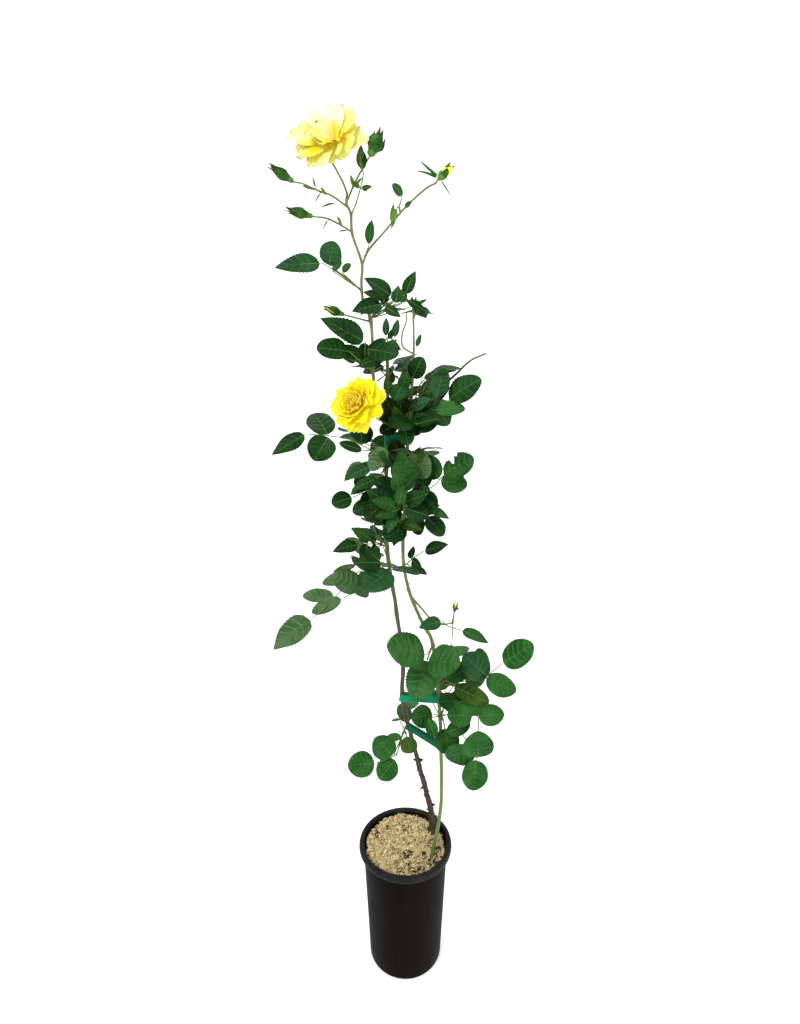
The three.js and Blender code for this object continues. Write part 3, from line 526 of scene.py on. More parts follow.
def grow_leaf(row, start, draw, blades, stalks):
    """Grows a leaf by the same rule as its solid, then adds stipules at its foot."""
    shape = LEAF_SHAPES["narrow" if row["narrow"] else "pointed" if row["pointed"] is True else "oval"]
    end_shape = LEAF_SHAPES["pointed"] if row["pointed"] == "end" else shape
    facing = unit(vec(row["facing"]))
    stalk = Limb([start, *row["stalk"]], 1.2, 0.8)
    shares = np.linspace(0, 1, 5 + 4 * len(row["stalk"]))
    tube(stalks, [stalk.at(share) for share in shares], [stalk.radius(share) for share in shares], 6)
    stalk_end, tip = vec(row["stalk"][-1]), vec(row["tip"])
    end_length = np.linalg.norm(tip - stalk_end)
    detail = seeded(int(end_length * 1000) + SEEDS["leaflets"])
    end_wide, side_wide = row["wide"] if isinstance(row["wide"], tuple) else (row["wide"], row["wide"])
    below = PALE_BELOW if row["facing"] is UNDERNEATH else BELOW
    leaflet(blades, stalk_end, tip, facing, end_shape, detail, end_wide, row["bite"], below)
    step = 0.75 / (row["pairs"] + 0.5)
    for pair in range(row["pairs"]):
        share = row["joints"][pair] if row["joints"] else 1 - step * (pair + 1)
        joint, tangent = stalk.at(share), stalk.tangent(share)
        side = unit(np.cross(tangent, facing))
        upper = np.cross(side, tangent)
        for hand in (1, -1):
            angle = math.radians(SIDE_ANGLE + 16 * (draw() - 0.5))
            length = end_length * row["side"] * (1 - SHRINK_BY_PAIR * pair) * (1 + 0.16 * (draw() - 0.5))
            droop = 0.05 + 0.25 * draw()
            roll = 0.5 * (draw() - 0.5)
            heading = unit(math.cos(angle) * tangent + hand * math.sin(angle) * side - droop * upper)
            if (pair, hand) not in row["bare"]:
                leaflet(blades, joint, joint + length * heading, upper + hand * roll * side, shape, detail,
                        side_wide, None, below)
    if stalk.length() > STIPULED_STALK and not row["narrow"]:
        heading = stalk.tangent(0.1)
        side = unit(np.cross(heading, facing))
        for hand in (1, -1):
            foot = stalk.at(0.06)
            leaflet(blades, foot, foot + STIPULE["length"] * unit(heading + 0.25 * hand * side), facing,
                    LEAF_SHAPES["narrow"], detail, STIPULE["wide"])


# ---- the limbs, ties, flowers and masses of the solid part, in the same places ----
def flower(name, limb, height, stalk, **rest):
    return dict(name=name, limb=limb, height=height, stalk=stalk, **rest)


def mass(name, limb, height, tone, leaves, pointed=False):
    return dict(name=name, limb=limb, height=height, tone=tone, leaves=leaves, pointed=pointed)


LIMBS = {
    "woody_shank": Limb([(54, 38, 215), (53, 36, 250), (50, 32, 284), (43, 26, 322), (26, 13, 400),
        (10, 0, 475)], 6.4, 4.2, flare=3.2),
    "left_cane": Limb([(10, 0, 475), (-5, -5, 550), (-5, -6, 630), (-17, -8, 735), (-30, -8, 832),
        (-31, -6, 950), (-28, -4, 1040), (-28, 0, 1165)], 4.1, 2.6),
    "right_cane": Limb([(46, -23, 215), (57, -15, 272), (66, -6, 335), (65, 0, 445), (60, 2, 548),
        (48, 5, 652), (30, 5, 692), (8, 4, 748), (-3, 2, 805), (-3, 0, 870), (2, 0, 940), (4, 0, 1020),
        (10, 0, 1095)], 3.6, 2.6),
    "right_cane_tip": Limb([(10, 0, 1095), (13, 0, 1150), (12, 0, 1216)], 2.5, 1.4),
    "thin_side_shoot": Limb([(13, 0, 1150), (-4, -2, 1161), (-5, -2, 1180), (1, -2, 1198), (2, -2, 1214)],
        1.5, 1),
    "flower_cane": Limb([(-28, -3, 1060), (-42, -8, 1086), (-50, -10, 1116), (-52, -10, 1195),
        (-64, -10, 1228), (-66, -10, 1255), (-65, -10, 1282), (-78, -10, 1322), (-80, -10, 1350),
        (-86, -10, 1365), (-85, -10, 1379)], 2.6, 1.7),
    "flower_branch_right": Limb([(-65, -10, 1278), (-55, -11, 1300), (-28, -12, 1329), (0, -14, 1359),
        (29, -16, 1383), (43, -18, 1390)], 1.8, 1.3),
    "dried_twig": Limb([(6, 0, 1062), (30, -4, 1088), (60, -8, 1104), (80, -10, 1121), (100, -10, 1140),
        (124, -10, 1151)], 2.1, 1.4),
    "short_lateral": Limb([(11, 4, 742), (27, 0, 724), (44, -6, 706), (62, -13, 700), (79, -20, 705)],
        1.9, 1.3),
}
# The short lateral bends back up, so what springs from it has a share of its run in place of a height.
LATERAL_LEAVES, LATERAL_END = 0.78, 1.0

# Ties: height on the left cane and on the right one, width of the tape and its finish. All four are one tape:
# the lower tie's finish is lightened as painted light, and the slanting tie's finish is darkened as painted
# shade.
TIES = [
    ("tie_upper", 1018, 1018, 16, "tie_tape"),
    ("tie_middle", 872, 866, 13, "tie_tape"),
    ("tie_lower", 556, 548, 13, "tie_tape_painted_light"),
    ("tie_slanting", 494, 452, 9, "tie_tape_painted_shade"),
]
FLOWERS = [
    flower("top_bloom", "flower_cane", 1379, [(-92, -12, 1396), (-106, -14, 1421), (-110, -22, 1436)],
        centre=(-111, -28, 1442), facing=(-0.42, -0.82, 0.38)),
    flower("mid_bloom", "right_cane", 1034, [(-9, -22, 1036), (-38, -46, 1052), (-62, -56, 1070)],
        centre=(-70, -64, 1077), facing=(-0.4, -0.86, 0.3), radius=42),
    flower("bud_left_upper", "flower_cane", 1359, [(-106, -15, 1374), (-125, -18, 1380),
        (-147, -20, 1389), (-160, -22, 1391)], tip=(-192, -28, 1411), radius=8.5,
        leaves=[leaf([(-122, -19, 1377)], (-128, -34, 1362), wide=0.12, narrow=True)]),
    flower("bud_left_lower", "flower_cane", 1326, [(-99, -15, 1337), (-115, -20, 1343),
        (-134, -22, 1345)], tip=(-172, -28, 1354), radius=8.5, leaves=[leaf([(-112, -20, 1341)],
        (-118, -34, 1326), wide=0.12, narrow=True)]),
    flower("bud_top_right", "flower_cane", 1366, [(-73, -13, 1392), (-59, -15, 1414), (-51, -16, 1426)],
        tip=(-33, -18, 1458), radius=13, opening=11),
    flower("bud_mid_left", "flower_cane", 1198, [(-72, -14, 1203), (-92, -17, 1208)],
        tip=(-122, -21, 1219), radius=7.5),
    flower("bud_right_open", "flower_branch_right", 1390, [(47, -18, 1395)], tip=(66, -21, 1412),
        radius=9, opening=62),
    flower("spent_calyx", "right_cane_tip", 1216, [(13, 0, 1221)], tip=(17, -1, 1238), radius=4.5,
        opening=40),
    flower("small_bud_shoot", "short_lateral", LATERAL_END, [(81, -21, 715), (82, -22, 726)],
        tip=(87, -23, 745), radius=5, opening=20,
        leaves=[leaf([(80, -22, 690), (79, -23, 668)], (79, -24, 650), narrow=True)]),
]
MASSES = [
    mass("leaf_top_left", "flower_cane", 1243, "blue", [
        leaf([(-97, -17, 1266), (-122, -22, 1281)], (-190, -36, 1273), wide=0.46, pointed="end",
            facing=(0, -1, 0.5)),
        leaf([(-94, -15, 1266), (-113, -20, 1276)], (-103, -32, 1310), wide=0.95, facing=FRONT),
    ]),
    mass("leaf_at_fork", "flower_branch_right", 1292, "mid", [
        leaf([(-54, -17, 1306)], (-49, -18, 1341), narrow=True, facing=FRONT),
    ]),
    mass("bract_shoot", "flower_cane", 1348, "dull", [
        leaf([(-70, -22, 1366), (-60, -27, 1398), (-64, -28, 1414)], (-62, -29, 1437), pairs=1, side=0.7,
            narrow=True, facing=FRONT),
    ]),
    mass("bracts_right", "flower_branch_right", 1352, "mid", [
        leaf([(-5, -16, 1372)], (-18, -18, 1390), wide=0.6, facing=FRONT),
        leaf([(-13, -15, 1358)], (-20, -16, 1336), narrow=True, facing=FRONT, tone="young"),
    ]),
    mass("leaves_top_right", "flower_cane", 1203, "dark", [
        leaf([(-32, -13, 1221), (-1, -14, 1237)], (15, -14, 1271), pairs=1, side=0.75, wide=0.5,
            facing=FRONT),
        leaf([(-20, -16, 1234)], (-61, -26, 1260), wide=0.52, facing=FRONT),
        leaf([(-34, -18, 1224)], (-79, -34, 1212), wide=0.6, facing=FRONT),
        leaf([(-40, 22, 1215), (-34, 52, 1228)], (-30, 100, 1226), pairs=1, facing=BACK),
    ], pointed=True),
    mass("leaf_right_tip", "right_cane_tip", 1204, "dark", [
        leaf([(22, -5, 1222)], (40, -10, 1209), pairs=1, side=0.9, facing=(0.4, -0.6, 1)),
        leaf([(18, 22, 1214), (22, 44, 1218)], (34, 80, 1208), pairs=1, facing=BACK),
    ], pointed=True),
    mass("leaves_upper_left", "flower_cane", 1124, "dark", [
        leaf([(-62, -17, 1148), (-60, -22, 1168)], (-125, -44, 1202), pairs=1, side=0.5,
            wide=(0.48, 0.5), pointed="end",
            facing=(-0.1, -0.9, 0.6)),
        leaf([(-62, -24, 1134), (-84, -32, 1154)], (-132, -44, 1160), pairs=1, side=0.7,
            facing=FRONT, bare=((0, -1),)),
        leaf([(-56, -30, 1158)], (-10, -52, 1150), wide=0.66, facing=FRONT),
    ]),
    mass("leaves_upper_back", "left_cane", 1110, "dark", [
        leaf([(-40, 30, 1124), (-52, 64, 1136)], (-66, 118, 1134), pairs=1, facing=BACK),
        leaf([(-12, 34, 1132)], (10, 84, 1146), pairs=1, facing=BACK),
    ]),
    mass("young_shoots", "left_cane", 1160, "blue", [
        leaf([(-30, -8, 1176)], (-29, -14, 1204), pairs=1, side=0.8, narrow=True, facing=FRONT),
        leaf([(-17, -10, 1174)], (-11, -16, 1202), pairs=1, side=0.8, narrow=True, facing=FRONT),
    ]),
    mass("leaf_right_upper", "right_cane", 1056, "dark", [
        leaf([(32, -18, 1070), (64, -30, 1080)], (114, -46, 1114), pairs=2, side=0.75, wide=0.7,
            facing=(0.1, -0.9, 0.8)),
        leaf([(30, 40, 1068), (38, 72, 1078)], (40, 124, 1076), pairs=1, facing=BACK),
    ]),
    mass("leaves_right_pointed", "right_cane", 1046, "dark", [
        leaf([(12, -14, 1040)], (50, -32, 1046), facing=FRONT),
        leaf([(-2, -34, 1044)], (4, -52, 1014), facing=FRONT),
        leaf([(10, -26, 1050)], (-22, -66, 1046), pairs=1, facing=(0, -0.8, 0.8)),
        leaf([(18, -40, 1046)], (50, -62, 1056), wide=0.44, pointed=True, facing=FRONT),
    ]),
    mass("leaves_right_round", "right_cane", 1080, "dark", [
        leaf([(10, -16, 1112)], (26, -26, 1146), facing=(0, -1, 0.4)),
        leaf([(-2, -26, 1108)], (-16, -56, 1084), pairs=1, side=0.8, facing=(0, -1, 0.8)),
        leaf([(36, -14, 1120)], (78, -22, 1126), facing=(0, -0.4, 1)),
    ]),
    mass("leaf_mid_left", "left_cane", 998, "dark", [
        leaf([(-54, -18, 1002), (-93, -30, 1022), (-152, -42, 1031)], (-204, -56, 1001), pairs=2,
            side=0.84, wide=(0.5, 0.84), joints=(0.82, 0.48), pointed="end", facing=(0, -0.9, 0.9),
            bare=((1, -1),)),
        leaf([(-56, 34, 1006), (-78, 66, 1016)], (-112, 116, 1012), pairs=1, facing=BACK),
    ]),
    mass("leaves_pale_left", "left_cane", 970, "mid", [
        leaf([(-48, -26, 984), (-64, -30, 984)], (-96, -40, 956), pairs=1, side=0.9, facing=UNDERNEATH),
        leaf([(-34, -30, 970), (-48, -38, 958)], (-86, -48, 936), facing=(-0.2, -0.8, 0.8)),
        leaf([(-20, -30, 984)], (-42, -62, 1004), facing=FRONT),
    ], pointed=True),
    mass("leaf_pale_right", "right_cane", 990, "mid", [
        leaf([(10, -24, 1001)], (34, -32, 959), pairs=1, side=0.7, wide=0.8, facing=UNDERNEATH),
        leaf([(4, -30, 992)], (-6, -62, 960), wide=0.85, facing=(0, -1, 0.4)),
        leaf([(22, 34, 992), (34, 66, 986)], (48, 112, 968), pairs=1, facing=BACK),
    ]),
    mass("leaf_round_left", "left_cane", 930, "dark", [
        leaf([(-56, -20, 936), (-84, -28, 927)], (-117, -38, 919), pairs=1, side=0.9, wide=0.86,
            facing=FRONT),
    ]),
    mass("leaves_front_middle", "right_cane", 925, "dark", [
        leaf([(-4, -34, 930)], (-60, -76, 926), pairs=1, side=0.8, facing=(0, -1, 0.7)),
        leaf([(4, -22, 918)], (43, -52, 905), facing=(0, -1, 0.5)),
        leaf([(6, -36, 932)], (38, -72, 950), facing=FRONT),
        leaf([(-10, -34, 940)], (-52, -70, 962), facing=FRONT),
        leaf([(-8, -40, 914)], (-48, -82, 896), facing=FRONT),
    ], pointed=True),
    mass("leaf_bitten", "right_cane", 906, "mid", [
        leaf([(8, -12, 922), (44, -24, 944), (58, -28, 961)], (106, -42, 994), pairs=2, side=0.8,
            joints=(0.88, 0.5), facing=(0.1, -0.9, 0.9), bite=(-1, 0.4)),
    ]),
    mass("leaves_right_middle", "right_cane", 884, "dark", [
        leaf([(16, -18, 894), (34, -28, 896)], (60, -46, 868), pairs=1, side=0.9,
            facing=(0.3, -0.9, 0.6)),
        leaf([(2, -36, 880)], (-34, -62, 868), facing=(0, -1, 0.7)),
        leaf([(18, 36, 894), (26, 72, 900)], (30, 124, 892), pairs=1, facing=BACK),
    ]),
    mass("leaf_bundle_left", "left_cane", 836, "dark", [
        leaf([(-52, -20, 846), (-76, -28, 848)], (-117, -42, 840), pairs=2, side=0.75,
            facing=(0, -0.8, 0.9)),
        leaf([(-50, 28, 846), (-58, 62, 856)], (-76, 112, 852), pairs=1, facing=BACK),
    ], pointed=True),
    mass("leaf_bundle_right", "right_cane", 802, "dark", [
        leaf([(10, -12, 816), (30, -16, 832)], (70, -28, 848), pairs=1, side=0.6, wide=0.6,
            facing=(0, -0.7, 1)),
        leaf([(12, -16, 804)], (36, -30, 796), facing=UP),
    ], pointed=True),
    mass("leaves_front_blue", "left_cane", 808, "blue", [
        leaf([(-22, -48, 810)], (-64, -96, 796), pairs=1, side=0.8, facing=(0, -0.9, 1)),
    ]),
    mass("long_leaf_lower_left", "left_cane", 780, "soft", [
        leaf([(-54, -18, 794), (-82, -38, 802), (-106, -76, 782), (-142, -112, 757)], (-198, -140, 719),
            pairs=3, side=0.72, wide=(0.62, 0.54), pointed="end", facing=(-0.1, -0.7, 1), bare=((0, -1),)),
        leaf([(-40, 34, 786), (-52, 74, 790)], (-74, 130, 776), pairs=1, facing=BACK),
    ]),
    mass("leaves_short_lateral", "short_lateral", LATERAL_LEAVES, "blue", [
        leaf([(62, -20, 710)], (22, -36, 704), facing=(0, -0.9, 0.9)),
        leaf([(72, -34, 706), (92, -40, 702)], (138, -48, 682), wide=0.42, facing=(0, -0.7, 1), tone="mid"),
    ], pointed=True),
    mass("big_leaves_front", "right_cane", 652, "fresh", [
        leaf([(44, -28, 664), (36, -50, 662)], (-30, -86, 696), facing=(0, -0.9, 1)),
        leaf([(36, -46, 652)], (88, -84, 664), wide=0.86, facing=(0, -0.9, 0.8)),
        leaf([(38, -40, 650)], (16, -88, 602), facing=(0, -1, 0.5)),
    ]),
    mass("leaf_right_long", "right_cane", 572, "bright", [
        leaf([(90, -16, 584), (120, -24, 586), (140, -30, 612), (163, -36, 637)], (212, -50, 682),
            pairs=2, side=0.8, wide=0.68, facing=(0.1, -0.8, 1)),
        leaf([(84, 30, 586), (96, 66, 594)], (108, 120, 590), pairs=1, facing=BACK),
    ]),
    mass("leaf_right_hanging", "right_cane", 536, "bright", [
        leaf([(90, -18, 553), (124, -36, 541), (124, -50, 502), (122, -54, 468)], (118, -66, 412),
            pairs=2, side=0.95, wide=0.8, joints=(0.88, 0.44), facing=(0.1, -1, 0.6),
            bare=((0, -1), (1, 1), (1, -1))),
    ]),
    mass("leaves_right_inner", "right_cane", 512, "mid", [
        leaf([(50, -16, 528)], (10, -34, 532), wide=0.9, facing=FRONT),
        leaf([(70, -20, 506)], (76, -36, 462), wide=0.95, facing=FRONT),
        leaf([(78, -18, 530)], (94, -34, 566), wide=0.8, facing=FRONT),
        leaf([(72, 34, 526), (78, 68, 532)], (74, 122, 526), pairs=1, facing=BACK),
    ]),
    mass("leaf_lowest_left", "left_cane", 494, "bright", [
        leaf([(-10, -26, 478), (-18, -38, 462), (-51, -46, 452)], (-100, -56, 454), wide=0.88,
            facing=(0, -0.9, 1)),
        leaf([(-10, 30, 486), (0, 60, 486)], (16, 104, 480), pairs=1, side=0.4, facing=BACK),
    ]),
]

# Finer leaves that fill the masses within their reach, most with a copy behind the canes.
FILLERS = {
    "leaf_top_left": [fill((-108, -24, 1270), (-93, -30, 1283), 0.6, "blue")],
    "leaves_top_right": [
        fill((-31, -18, 1231), (-63, -26, 1240), 0.5, pointed=True),
        fill((-15, -16, 1224), (-10, -22, 1250), 0.6, "blue", pointed=True),
        fill((3, -14, 1230), (31, -20, 1213), 0.45, pointed=True),
    ],
    "leaves_upper_left": [
        fill((-30, -24, 1145), (-70, -36, 1133), 0.44),
        fill((-75, -26, 1139), (-96, -34, 1146), 0.5, pointed=True),
        fill((-40, -20, 1150), (-12, -30, 1172), 0.4, "dull", pointed=True),
    ],
    "leaves_right_round": [
        fill((-24, -16, 1088), (-30, -22, 1118), 0.5, "dull", pointed=True),
        fill((-6, -20, 1092), (2, -34, 1122), 0.6, "mid"),
    ],
    "leaf_right_upper": [
        fill((47, -26, 1084), (59, -30, 1130), 0.62, "blue"),
        fill((41, -18, 1125), (86, -22, 1128), 0.5, facing=(0, -0.3, 1)),
        fill((44, -34, 1067), (90, -52, 1070), 0.5, "bright"),
        fill((30, -20, 1060), (50, -24, 1096), 0.6),
    ],
    "leaves_right_pointed": [
        fill((4, -24, 1052), (48, -36, 1050), 0.52, pointed=True),
        fill((6, -22, 1068), (40, -30, 1084), 0.56, "blue", pointed=True),
        # The deep leaves below are near-black sheets put in as painted shade in the dense middle of the
        # plant.
        fill((-12, -14, 1049), (-33, -22, 1083), 0.8, "deep"),
        fill((-9, -12, 1055), (-5, -16, 1090), 0.85, "deep"),
        fill((-2, -12, 1049), (28, -16, 1076), 0.8, "deep"),
        fill((-15, -14, 1046), (-42, -26, 1060), 0.8, "deep"),
        fill((-12, -16, 1043), (-40, -26, 1030), 0.75, "deep"),
        fill((-2, -14, 1043), (24, -20, 1028), 0.75, "deep"),
        fill((-8, -20, 1040), (-18, -28, 1072), 0.6, "dull", pointed=True),
        fill((-4, -20, 1040), (12, -30, 1066), 0.5, "dull", pointed=True),
    ],
    "leaves_pale_left": [
        fill((-52, -34, 981), (-92, -46, 962), 0.46, "blue", pointed=True),
        fill((-43, -40, 961), (-83, -56, 946), 0.42, pointed=True),
        fill((-10, -30, 980), (-5, -34, 1004), 0.6),
        fill((-30, -50, 1013), (-53, -56, 976), 0.64, facing=UNDERNEATH),
    ],
    "leaf_pale_right": [
        fill((10, -20, 980), (30, -34, 1008), 0.5, "dull", pointed=True),
        # The deep leaves below are near-black sheets put in as painted shade.
        fill((-6, -24, 975), (-26, -40, 1000), 0.5, "deep", pointed=True),
        fill((-10, -14, 988), (-18, -18, 1018), 0.9, "deep", twice=False),
    ],
    "leaf_round_left": [
        fill((-49, -26, 917), (-84, -36, 904), 0.74),
        # The deep leaf below is a near-black sheet put in as painted shade.
        fill((-24, -40, 924), (-64, -48, 897), 0.66, "deep"),
    ],
    "leaves_front_middle": [
        fill((-21, -62, 926), (-60, -78, 951), 0.6, pointed=True),
        fill((-14, -66, 920), (-52, -84, 937), 0.48, "mid", pointed=True),
        fill((-11, -68, 917), (-46, -86, 910), 0.46, "mid", pointed=True),
        fill((-15, -66, 913), (-27, -84, 884), 0.5, "mid", pointed=True),
        fill((-11, -66, 924), (-2, -78, 959), 0.5, "mid", pointed=True),
        fill((-2, -58, 917), (36, -70, 908), 0.76),
        fill((-2, -60, 926), (35, -72, 944), 0.6, pointed=True),
        fill((-8, -56, 942), (-18, -70, 979), 0.56, "mid", pointed=True),
        fill((-5, -56, 946), (20, -66, 975), 0.52, pointed=True),
    ],
    "leaves_right_middle": [
        fill((39, -40, 912), (69, -52, 898), 0.42, "blue", pointed=True),
        fill((-9, -40, 889), (27, -56, 881), 0.48, "dull", pointed=True),
        fill((-9, -42, 887), (-19, -56, 854), 0.52, pointed=True),
        fill((20, -44, 900), (44, -58, 926), 0.6),
    ],
    "leaf_bundle_left": [
        fill((-54, -34, 857), (-86, -44, 881), 0.5, "mid", pointed=True),
        fill((-49, -36, 844), (-74, -50, 828), 0.5, pointed=True),
    ],
    "leaves_front_blue": [
        fill((-38, -50, 824), (-76, -70, 832), 0.66, "dark"),
        fill((-40, -50, 826), (-62, -60, 852), 0.6, "dark"),
    ],
    "leaf_mid_left": [
        fill((-66, -34, 1003), (-102, -42, 1017), 0.42),
    ],
    "long_leaf_lower_left": [
        fill((-69, -62, 784), (-114, -70, 813), 0.7, "soft"),
        fill((-98, -84, 778), (-146, -94, 758), 0.42, "soft"),
    ],
    "leaf_right_hanging": [
        fill((125, -60, 471), (122, -68, 531), 0.88),
        fill((116, -56, 551), (70, -64, 559), 0.76),
        fill((121, -56, 551), (166, -64, 561), 0.76),
    ],
    "leaf_right_long": [
        fill((108, -36, 630), (69, -44, 614), 0.68, "mid"),
        fill((142, -40, 614), (96, -48, 661), 0.7, "blue", twice=False),
        fill((80, -34, 595), (143, -44, 569), 0.46, "dull"),
        fill((57, -20, 555), (88, -28, 565), 0.85, "mid"),
    ],
    "leaf_lowest_left": [
        fill((-21, -42, 462), (-53, -50, 505), 0.78, twice=False),
        fill((-17, -42, 458), (-46, -50, 422), 0.82, twice=False),
        fill((-6, -40, 500), (-32, -44, 502), 0.52, twice=False),
        fill((12, -34, 461), (0, -40, 500), 0.72, "dull"),
    ],
    "leaves_right_inner": [
        fill((39, -36, 534), (51, -46, 504), 0.64, "bright"),
        fill((71, -30, 501), (112, -42, 528), 0.52, "mid"),
    ],
}

# Bracts along the flower stalks: foot, tip, width and tone.
BRACTS = [
    ((-61, -18, 1406), (-64, -20, 1436), 0.5, "dull"),
    ((-130, -19, 1381), (-148, -21, 1386), 0.3, "brown"),
    ((-115, -16, 1374), (-122, -18, 1386), 0.3, "young"),
    ((-101, -14, 1365), (-123, -16, 1358), 0.14, "brown"),
    ((-129, -19, 1383), (-133, -20, 1398), 0.16, "brown"),
    ((-93, -15, 1334), (-100, -16, 1347), 0.3, "young"),
    ((-84, -13, 1328), (-99, -15, 1326), 0.16, "brown"),
    ((-21, -14, 1337), (-17, -15, 1364), 0.22, "young"),
    ((-14, -14, 1345), (-21, -15, 1329), 0.2, "young"),
    ((-1, -15, 1357), (9, -16, 1367), 0.55, "mid"),
    ((17, -4, 1160), (24, -6, 1180), 0.36, "blue"),
    ((-74, -14, 1384), (-79, -15, 1402), 0.3, "young"),
    ((-72, -14, 1388), (-62, -15, 1398), 0.3, "young"),
    ((-62, -20, 1383), (-55, -22, 1379), 0.8, "dark"),
    ((17, -2, 1222), (33, -6, 1231), 0.3, "mid"),
    ((12, -2, 1222), (-2, -6, 1232), 0.3, "mid"),
]

# The old bloom's petals, from its heart: tip, width, cup, flare, ruffle, pointed end, and the number of
# the finish, 0 for its yellow and 3 for the faded one.
OLD_BLOOM_HEART = (-100, -24, 1447)
OLD_BLOOM_STAMENS = (-22, -22, 12)
OLD_BLOOM_PETALS = [
    ((21, 6, 40), 52, 0.10, 0.05, 1.8, 0.0, 0), ((-8, 10, 41), 48, 0.10, 0.06, 1.6, 0.0, 3),
    ((-30, 6, 33), 48, 0.10, 0.08, 1.8, 0.0, 3), ((-50, -2, 14), 38, 0.06, 0.08, 2.0, 0.0, 3),
    ((44, -4, -3), 36, 0.04, 0.04, 1.6, 0.10, 0), ((31, 2, 16), 34, 0.08, 0.04, 1.6, 0.0, 0),
    ((-62, -12, 0), 34, 0.04, 0.08, 2.6, 0.04, 0), ((-52, -18, -24), 42, 0.04, 0.14, 3.0, 0.0, 0),
    ((-34, -22, -38), 46, 0.05, 0.18, 3.2, 0.0, 0), ((-8, -18, -32), 44, 0.08, 0.20, 3.0, 0.0, 0),
    ((20, -14, -23), 42, 0.06, 0.16, 2.4, 0.0, 0),
    ((-38, -24, -8), 36, 0.26, 0.10, 2.6, 0.0, 0), ((-20, -24, -20), 34, 0.30, 0.12, 2.6, 0.0, 0),
    ((-22, -16, 12), 30, 0.30, 0.08, 2.4, 0.0, 3), ((9, -12, 14), 28, 0.26, 0.06, 2.0, 0.0, 0),
    ((10, -18, -10), 30, 0.28, 0.10, 2.2, 0.0, 0),
]

# The full bloom's rings of petals, from the outside in: count, lean from its heading in degrees, reach
# and width as shares of its radius, cup, flare and ruffle.
FULL_BLOOM_CLEFT = 56
FULL_BLOOM_RINGS = [
    (9, 92, 0.96, 0.72, 0.06, 0.24, 1.5), (9, 80, 0.96, 0.72, 0.08, 0.18, 1.5),
    (9, 68, 0.90, 0.70, 0.12, 0.12, 1.4), (8, 57, 0.82, 0.62, 0.16, 0.08, 1.3),
    (8, 46, 0.74, 0.54, 0.20, 0.05, 1.2), (7, 35, 0.66, 0.46, 0.24, 0.02, 1.1),
    (5, 24, 0.56, 0.40, 0.28, 0.0, 1.0), (3, 12, 0.46, 0.34, 0.30, 0.0, 0.8),
]

# Dark gaps in the shavings: where, and how far they reach.
BARE_SOIL = [(-2, -24, 13), (10, -16, 8), (52, -34, 12), (-54, 26, 6), (52, 14, 10), (30, -50, 7),
             (14, -58, 10), (-6, -56, 7), (60, -8, 9), (36, -20, 6), (4, -42, 7), (-36, 44, 6)]


# ---- the plant's finishes ----
LEAF_TONES = {
    "dark": ((0.003, 0.022, 0.003), (0.012, 0.058, 0.010), 0.40),
    # Blue: a lighter, bluish green that paints in the bluish gloss of the leaves, a painted sheen.
    "blue": ((0.009, 0.046, 0.013), (0.028, 0.098, 0.030), 0.42),
    "mid": ((0.006, 0.044, 0.006), (0.026, 0.100, 0.018), 0.44),
    "bright": ((0.009, 0.062, 0.008), (0.030, 0.128, 0.024), 0.44),
    # Deep: near-black leaves that stand for the shade in the dense middle of the plant, as painted shade.
    "deep": ((0.003, 0.012, 0.001), (0.014, 0.034, 0.005), 0.55),
    "dull": ((0.011, 0.042, 0.004), (0.046, 0.098, 0.012), 0.5),
    "soft": ((0.034, 0.084, 0.026), (0.084, 0.160, 0.064), 0.5),
    "fresh": ((0.014, 0.074, 0.013), (0.046, 0.146, 0.034), 0.44),
    "young": ((0.070, 0.170, 0.018), (0.140, 0.270, 0.045), 0.50),
    "brown": ((0.060, 0.036, 0.016), (0.120, 0.075, 0.026), 0.60),
}
LEAF_FINISHES = {tone: leaf_finish(f"leaf_{tone}", *look) for tone, look in LEAF_TONES.items()}
VEINS = {tone: plain_plant_finish(f"vein_{tone}", tuple(0.74 * vec(light)), tuple(1.02 * vec(light)), 0.5)
         for tone, (_, light, _) in LEAF_TONES.items()}
underside = plain_plant_finish("leaf_underside", (0.028, 0.070, 0.016), (0.062, 0.120, 0.038), 0.62)
pale_underside = plain_plant_finish("leaf_underside_pale", (0.055, 0.120, 0.040), (0.110, 0.180, 0.080), 0.62)
rib = plain_plant_finish("leaf_rib", (0.050, 0.120, 0.022), (0.100, 0.190, 0.050), 0.5)
stalk_green = plain_plant_finish("stalk_green", (0.070, 0.120, 0.022), (0.150, 0.220, 0.050), 0.5)
thorn_brown = plain_plant_finish("thorn_brown", (0.120, 0.045, 0.025), (0.210, 0.100, 0.050), 0.45)
thorn_dark = plain_plant_finish("thorn_dark", (0.020, 0.014, 0.010), (0.060, 0.042, 0.030), 0.6)
sepal_green = plain_plant_finish("sepal_green", (0.010, 0.060, 0.006), (0.040, 0.130, 0.016), 0.5, depth=0.25)
hip_green = plain_plant_finish("hip_green", (0.045, 0.140, 0.018), (0.100, 0.220, 0.036), 0.42)
bud_yellow = plain_plant_finish("bud_yellow", (0.780, 0.700, 0.030), (0.900, 0.860, 0.120), 0.5)
petal_brown = plain_plant_finish("petal_browned_edge", (0.360, 0.290, 0.110), (0.640, 0.560, 0.240), 0.6)
sepal_tip = plain_plant_finish("sepal_tip", (0.022, 0.030, 0.010), (0.070, 0.050, 0.024), 0.6)
